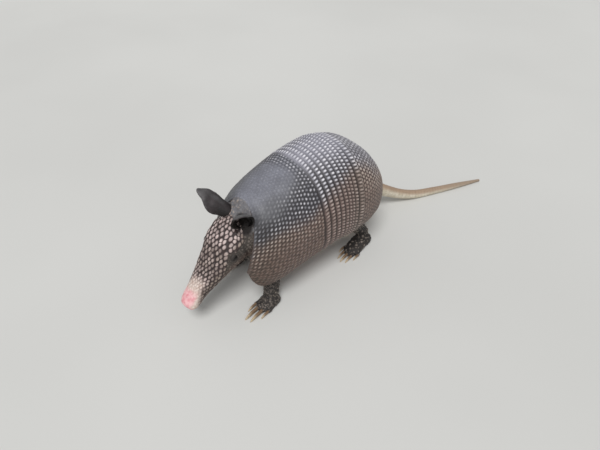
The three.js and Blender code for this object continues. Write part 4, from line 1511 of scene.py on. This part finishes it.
def hair_mesh(name, roots, ways, lengths, places):
    """Many hairs as one mesh. A hair of length l from root r along w passes through r + w l s, less
    0.3 l s squared in height, for s from 0 to 1. Round that path lie three-sided rings whose radius
    falls to nothing at the tip. Each hair's patch of the map is at its root's place on the unwrap."""
    share = np.array([0.0, 0.3, 0.6, 0.85])
    step = share[None, :, None] * lengths[:, None, None]
    path = roots[:, None] + ways[:, None] * step
    path[..., 2] -= HAIR_DROOP * lengths[:, None] * share ** 2
    across = unit(np.cross(ways, (0.31, 0.17, 0.93)))
    beside = np.cross(ways, across)
    turn = np.arange(3) * 2 * np.pi / 3
    circle = np.cos(turn)[:, None] * across[:, None] + np.sin(turn)[:, None] * beside[:, None]
    radius = HAIR_RADIUS * (1 - 0.8 * share)
    rings = path[:, :, None] + circle[:, None] * radius[None, :, None, None]
    tips = roots + ways * lengths[:, None] - np.array([0, 0, HAIR_DROOP]) * lengths[:, None]
    points = np.concatenate([rings.reshape(len(roots), 12, 3), tips[:, None]], axis=1)
    points[..., 2] = np.maximum(points[..., 2], 0.15)
    sides = []
    for ring in (0, 3, 6):
        for k, after in ((0, 1), (1, 2), (2, 0)):
            sides.append((ring + k, ring + after, ring + 3 + after, ring + 3 + k))
    caps = [(0, 2, 1), (9, 10, 12), (10, 11, 12), (11, 9, 12)]
    start = HAIR_POINTS * np.arange(len(roots))[:, None, None]
    faces = (start + np.array(sides)).reshape(-1, 4).tolist()
    faces += (start + np.array(caps)).reshape(-1, 3).tolist()
    mesh = finished_mesh(name, points.reshape(-1, 3), faces)

    corners = np.empty(len(mesh.loops), int)
    mesh.loops.foreach_get("vertex_index", corners)
    hair, corner = corners // HAIR_POINTS, corners % HAIR_POINTS
    patch = np.stack([corner % 3 / 2, corner // 3 / 4], -1) * PATCH
    layer = mesh.uv_layers.new(name="OFBake")
    layer.data.foreach_set("uv", (places[hair] + patch).astype(np.float32).ravel())
    return mesh


def hair_places(roots):
    """Each root's place on the unwrap: the body's length runs one way and the turn round it the other,
    with the four legs side by side above."""
    x, y, z = roots.T
    turn = np.arctan2(x, z - 55) / (2 * np.pi) + 0.5
    on_body = np.stack([0.03 + 0.92 * (y + 170) / 280, 0.03 + 0.62 * turn], -1)
    which = 2 * (x > 0) + (y > 0)
    leg_turn = np.arctan2(np.abs(x) - 26, y - np.where(y > 0, 44, -66)) / (2 * np.pi) + 0.5
    on_leg = np.stack([0.03 + 0.24 * (which + 0.9 * leg_turn), 0.72 + 0.24 * z / 55], -1)
    leg = (leg_weight(roots) > 0.5) & (z < 54)
    return np.clip(np.where(leg[:, None], on_leg, on_body), 0.0, 1 - PATCH)


def make_hairs(skin_points, skin_normals):
    """Sparse pale hairs: a fringe under the shell's rim, and more on the belly, legs, cheeks and
    throat, each leaning towards the tail and the ground."""
    chance = np.random.default_rng(31)
    legs = leg_weight(skin_points)
    forward, _, up = head_measures(skin_points).T
    high, down = skin_points[:, 2], skin_normals[:, 2]
    regions = {
        "belly": (down < -0.35) & (legs < 0.2) & (forward < 4) & (high > 18),
        "legs": (legs > 0.6) & (high > 9) & (high < 52),
        "cheeks": (forward > 12) & (forward < 66) & (up < 1) & (legs < 0.1),
        "throat": (forward < 12) & (skin_points[:, 1] < -66) & (high < 78) & (legs < 0.1),
    }
    rims = []
    for _, side in SIDES:
        place = chance.uniform(0.03, 0.985, FRINGE)
        rim = np.radians(smooth(SHELL_RINGS, place)[:, -1])
        angle = -rim + chance.uniform(0.0, 0.10, FRINGE)
        angle = angle if side > 0 else np.pi - angle
        rims.append(shell_point(place, angle) - shell_normal(place, angle) * 1.6)
    roots = [np.concatenate(rims)]
    ways = [np.sign(roots[0][:, :1]) * np.array([0.45, 0, 0]) + np.array([0, 0.45, -0.85])]
    sizes = [chance.uniform(3.0, 6.5, len(roots[0]))]
    for name, count, shortest, longest, lean in HAIRS:
        chosen = chance.choice(np.nonzero(regions[name])[0], count)
        roots.append(skin_points[chosen] - skin_normals[chosen] * 0.3)
        ways.append(skin_normals[chosen] * 0.8 + np.array([0, 0.5, -0.6]) * lean)
        sizes.append(chance.uniform(shortest, longest, count))
    roots, ways, sizes = np.concatenate(roots), np.concatenate(ways), np.concatenate(sizes)
    ways = unit(ways + chance.normal(0, 0.22, ways.shape))
    sizes = np.minimum(sizes, np.maximum(roots[:, 2] - 0.5, 1.0))
    mesh = hair_mesh("hairs", roots, ways, sizes, hair_places(roots))
    tone = np.repeat(chance.uniform(0, 1, len(roots)), HAIR_POINTS)
    add_piece("hairs", mesh, "hair", "skin", tone=tone)


# ---------------------------------------------------------------- claws and tail


def make_claws():
    """Each claw a curved cone from inside its toe down to the ground, deeper than it is wide."""
    for kind, _, foot, toes, step in LEGS:
        length = foot["heel"] - foot["toe"]
        for word, side in SIDES:
            for number, (sideways, end, toe_radius, claw, radius) in enumerate(toes, 1):
                share = np.linspace(-0.25, 1, 26)
                out = np.clip(share, 0, 1)
                reach = length + end + 0.3 + share * claw
                height = toe_radius * 0.95 + 0.35 * np.sin(np.pi * out)
                height = height * (1 - out ** 2.2) + 0.5 * out ** 2
                thick = radius * np.sqrt(np.clip(1 - out ** 1.7, 0.008, 1))[:, None]
                circle = np.linspace(0, 2 * np.pi, 17)[:-1]
                wide = sideways + np.cos(circle) * thick * 0.78
                high = height[:, None] + np.sin(circle) * thick * np.where(np.sin(circle) > 0, 1.0, 0.7)
                shift = 0 if side > 0 else step
                rings = in_foot(foot, side, shift, reach[:, None], wide, np.maximum(high, 0.05))
                name = f"claw_{kind}_{word}_{number}"
                tip = np.repeat(ease(share, 0.2, 0.9), len(circle))
                add_piece(name, finished_mesh(name, *tube(rings)), "claws", "claws", (name,), tip=tip)


def make_tail():
    """The tail in rings that shorten towards the tip. Each ring rises to its rear edge and is cut into
    scales, with the rings blending into plain rows near the tip."""
    rows, columns = 420, 84
    place = np.linspace(-0.06, 1.0, rows)
    path = smooth(TAIL, place)[:, :3]
    radius = smooth(TAIL, place)[:, 3]
    run = np.concatenate([[0], np.cumsum(np.linalg.norm(np.diff(path, axis=0), axis=1))])
    ring_length = 6.0 - 3.2 * ease(place, 0.1, 0.9)
    ring = np.cumsum(np.gradient(run) / ring_length)
    share = ring - np.floor(ring)
    count = 22 - 10 * ease(place, 0.1, 0.8)
    count = np.round(count[np.searchsorted(ring, np.floor(ring))])
    turn = np.arange(columns) / columns
    shift = 0.5 * (share > 0.5) + 0.5 * np.mod(np.floor(ring), 2)
    column = turn[None] * count[:, None] + shift[:, None]
    beside = np.abs(column - np.floor(column) - 0.5) * 2
    row_share = np.mod(share * 2, 1)
    row_edge = ease(np.abs(row_share - 0.5) * 2, 0.78, 1.0)
    between = np.maximum(ease(beside, 0.78, 1.0), row_edge[:, None] * 0.6)
    ringed = 1 - 0.7 * ease(place, 0.55, 0.95)
    step_edge = ease(share, 0.86, 1.0)
    relief = ((0.55 * share - 0.75 * step_edge) * ringed)[:, None] - 0.22 * between
    relief = relief * (0.35 + 0.65 * radius[:, None] / 9)
    rings = bar_rings(TAIL, place, columns)
    rings = rings + unit(rings - path[:, None]) * (relief - 0.1)[..., None]
    rings[..., 2] = np.maximum(rings[..., 2], 0.0)
    cap = path[-1] + (rings[-1:] - path[-1]) * 0.6 + np.array([0.2, 0.5, -0.05])
    mesh = finished_mesh("tail", *tube(np.concatenate([rings, cap])))
    seam = np.maximum(between * 0.6, (step_edge * ringed)[:, None])
    # below: where the painted shade under the tail falls.
    below = np.broadcast_to(ease(-np.sin(turn * 2 * np.pi), 0.0, 0.8)[None], (rows, columns))
    tip = np.broadcast_to(ease(place, 0.5, 1.0)[:, None], (rows, columns))
    nodes = [f"tail_{number}" for number in range(1, TAIL_LENGTHS + 1)]
    add_piece("tail", mesh, "tail", "tail", nodes, seam=seam, under=below, tip=tip)


# ---------------------------------------------------------------- floor, light and camera


def make_floor():
    """A wide pale floor."""
    bpy.ops.mesh.primitive_plane_add(size=FLOOR_SIZE)
    floor = bpy.context.object
    floor.name = "floor"
    f = Finish("pale floor", 0.9)
    f.paint(f.clouded(0.5, (208, 208, 205), (214, 214, 211)))
    floor.data.materials.append(f.material)


def make_light():
    """An even sky and a soft sun."""
    world = bpy.data.worlds.new("sky")
    world.use_nodes = True
    sky = world.node_tree.nodes["Background"]
    sky.inputs["Color"].default_value = (1, 1, 1, 1)
    sky.inputs["Strength"].default_value = SKY_STRENGTH
    bpy.context.scene.world = world
    sun = bpy.data.lights.new("soft sun", "SUN")
    sun.energy = SUN_STRENGTH
    sun.angle = SUN_WIDTH
    linked("soft sun", sun).rotation_euler = SUN_TURN


def make_camera():
    """The camera, level and looking down on the animal from ahead and to its left."""
    lens = bpy.data.cameras.new("camera")
    lens.sensor_width = 36
    lens.lens = CAMERA_LENS
    lens.clip_start = 0.01
    camera = linked("camera", lens)
    camera.location = to_frame(CAMERA_PLACE)
    camera.rotation_euler = (math.pi / 2 - CAMERA_DOWN, 0, CAMERA_TURN)
    bpy.context.scene.camera = camera
    bpy.context.scene.view_settings.view_transform = "Standard"


make_floor()
make_light()
make_camera()
make_shields()
for band in range(BANDS):
    make_band(band)
skin_points, skin_normals = make_skin()
make_hairs(skin_points, skin_normals)
make_head_scales()
make_eyes()
make_ears()
make_claws()
make_tail()
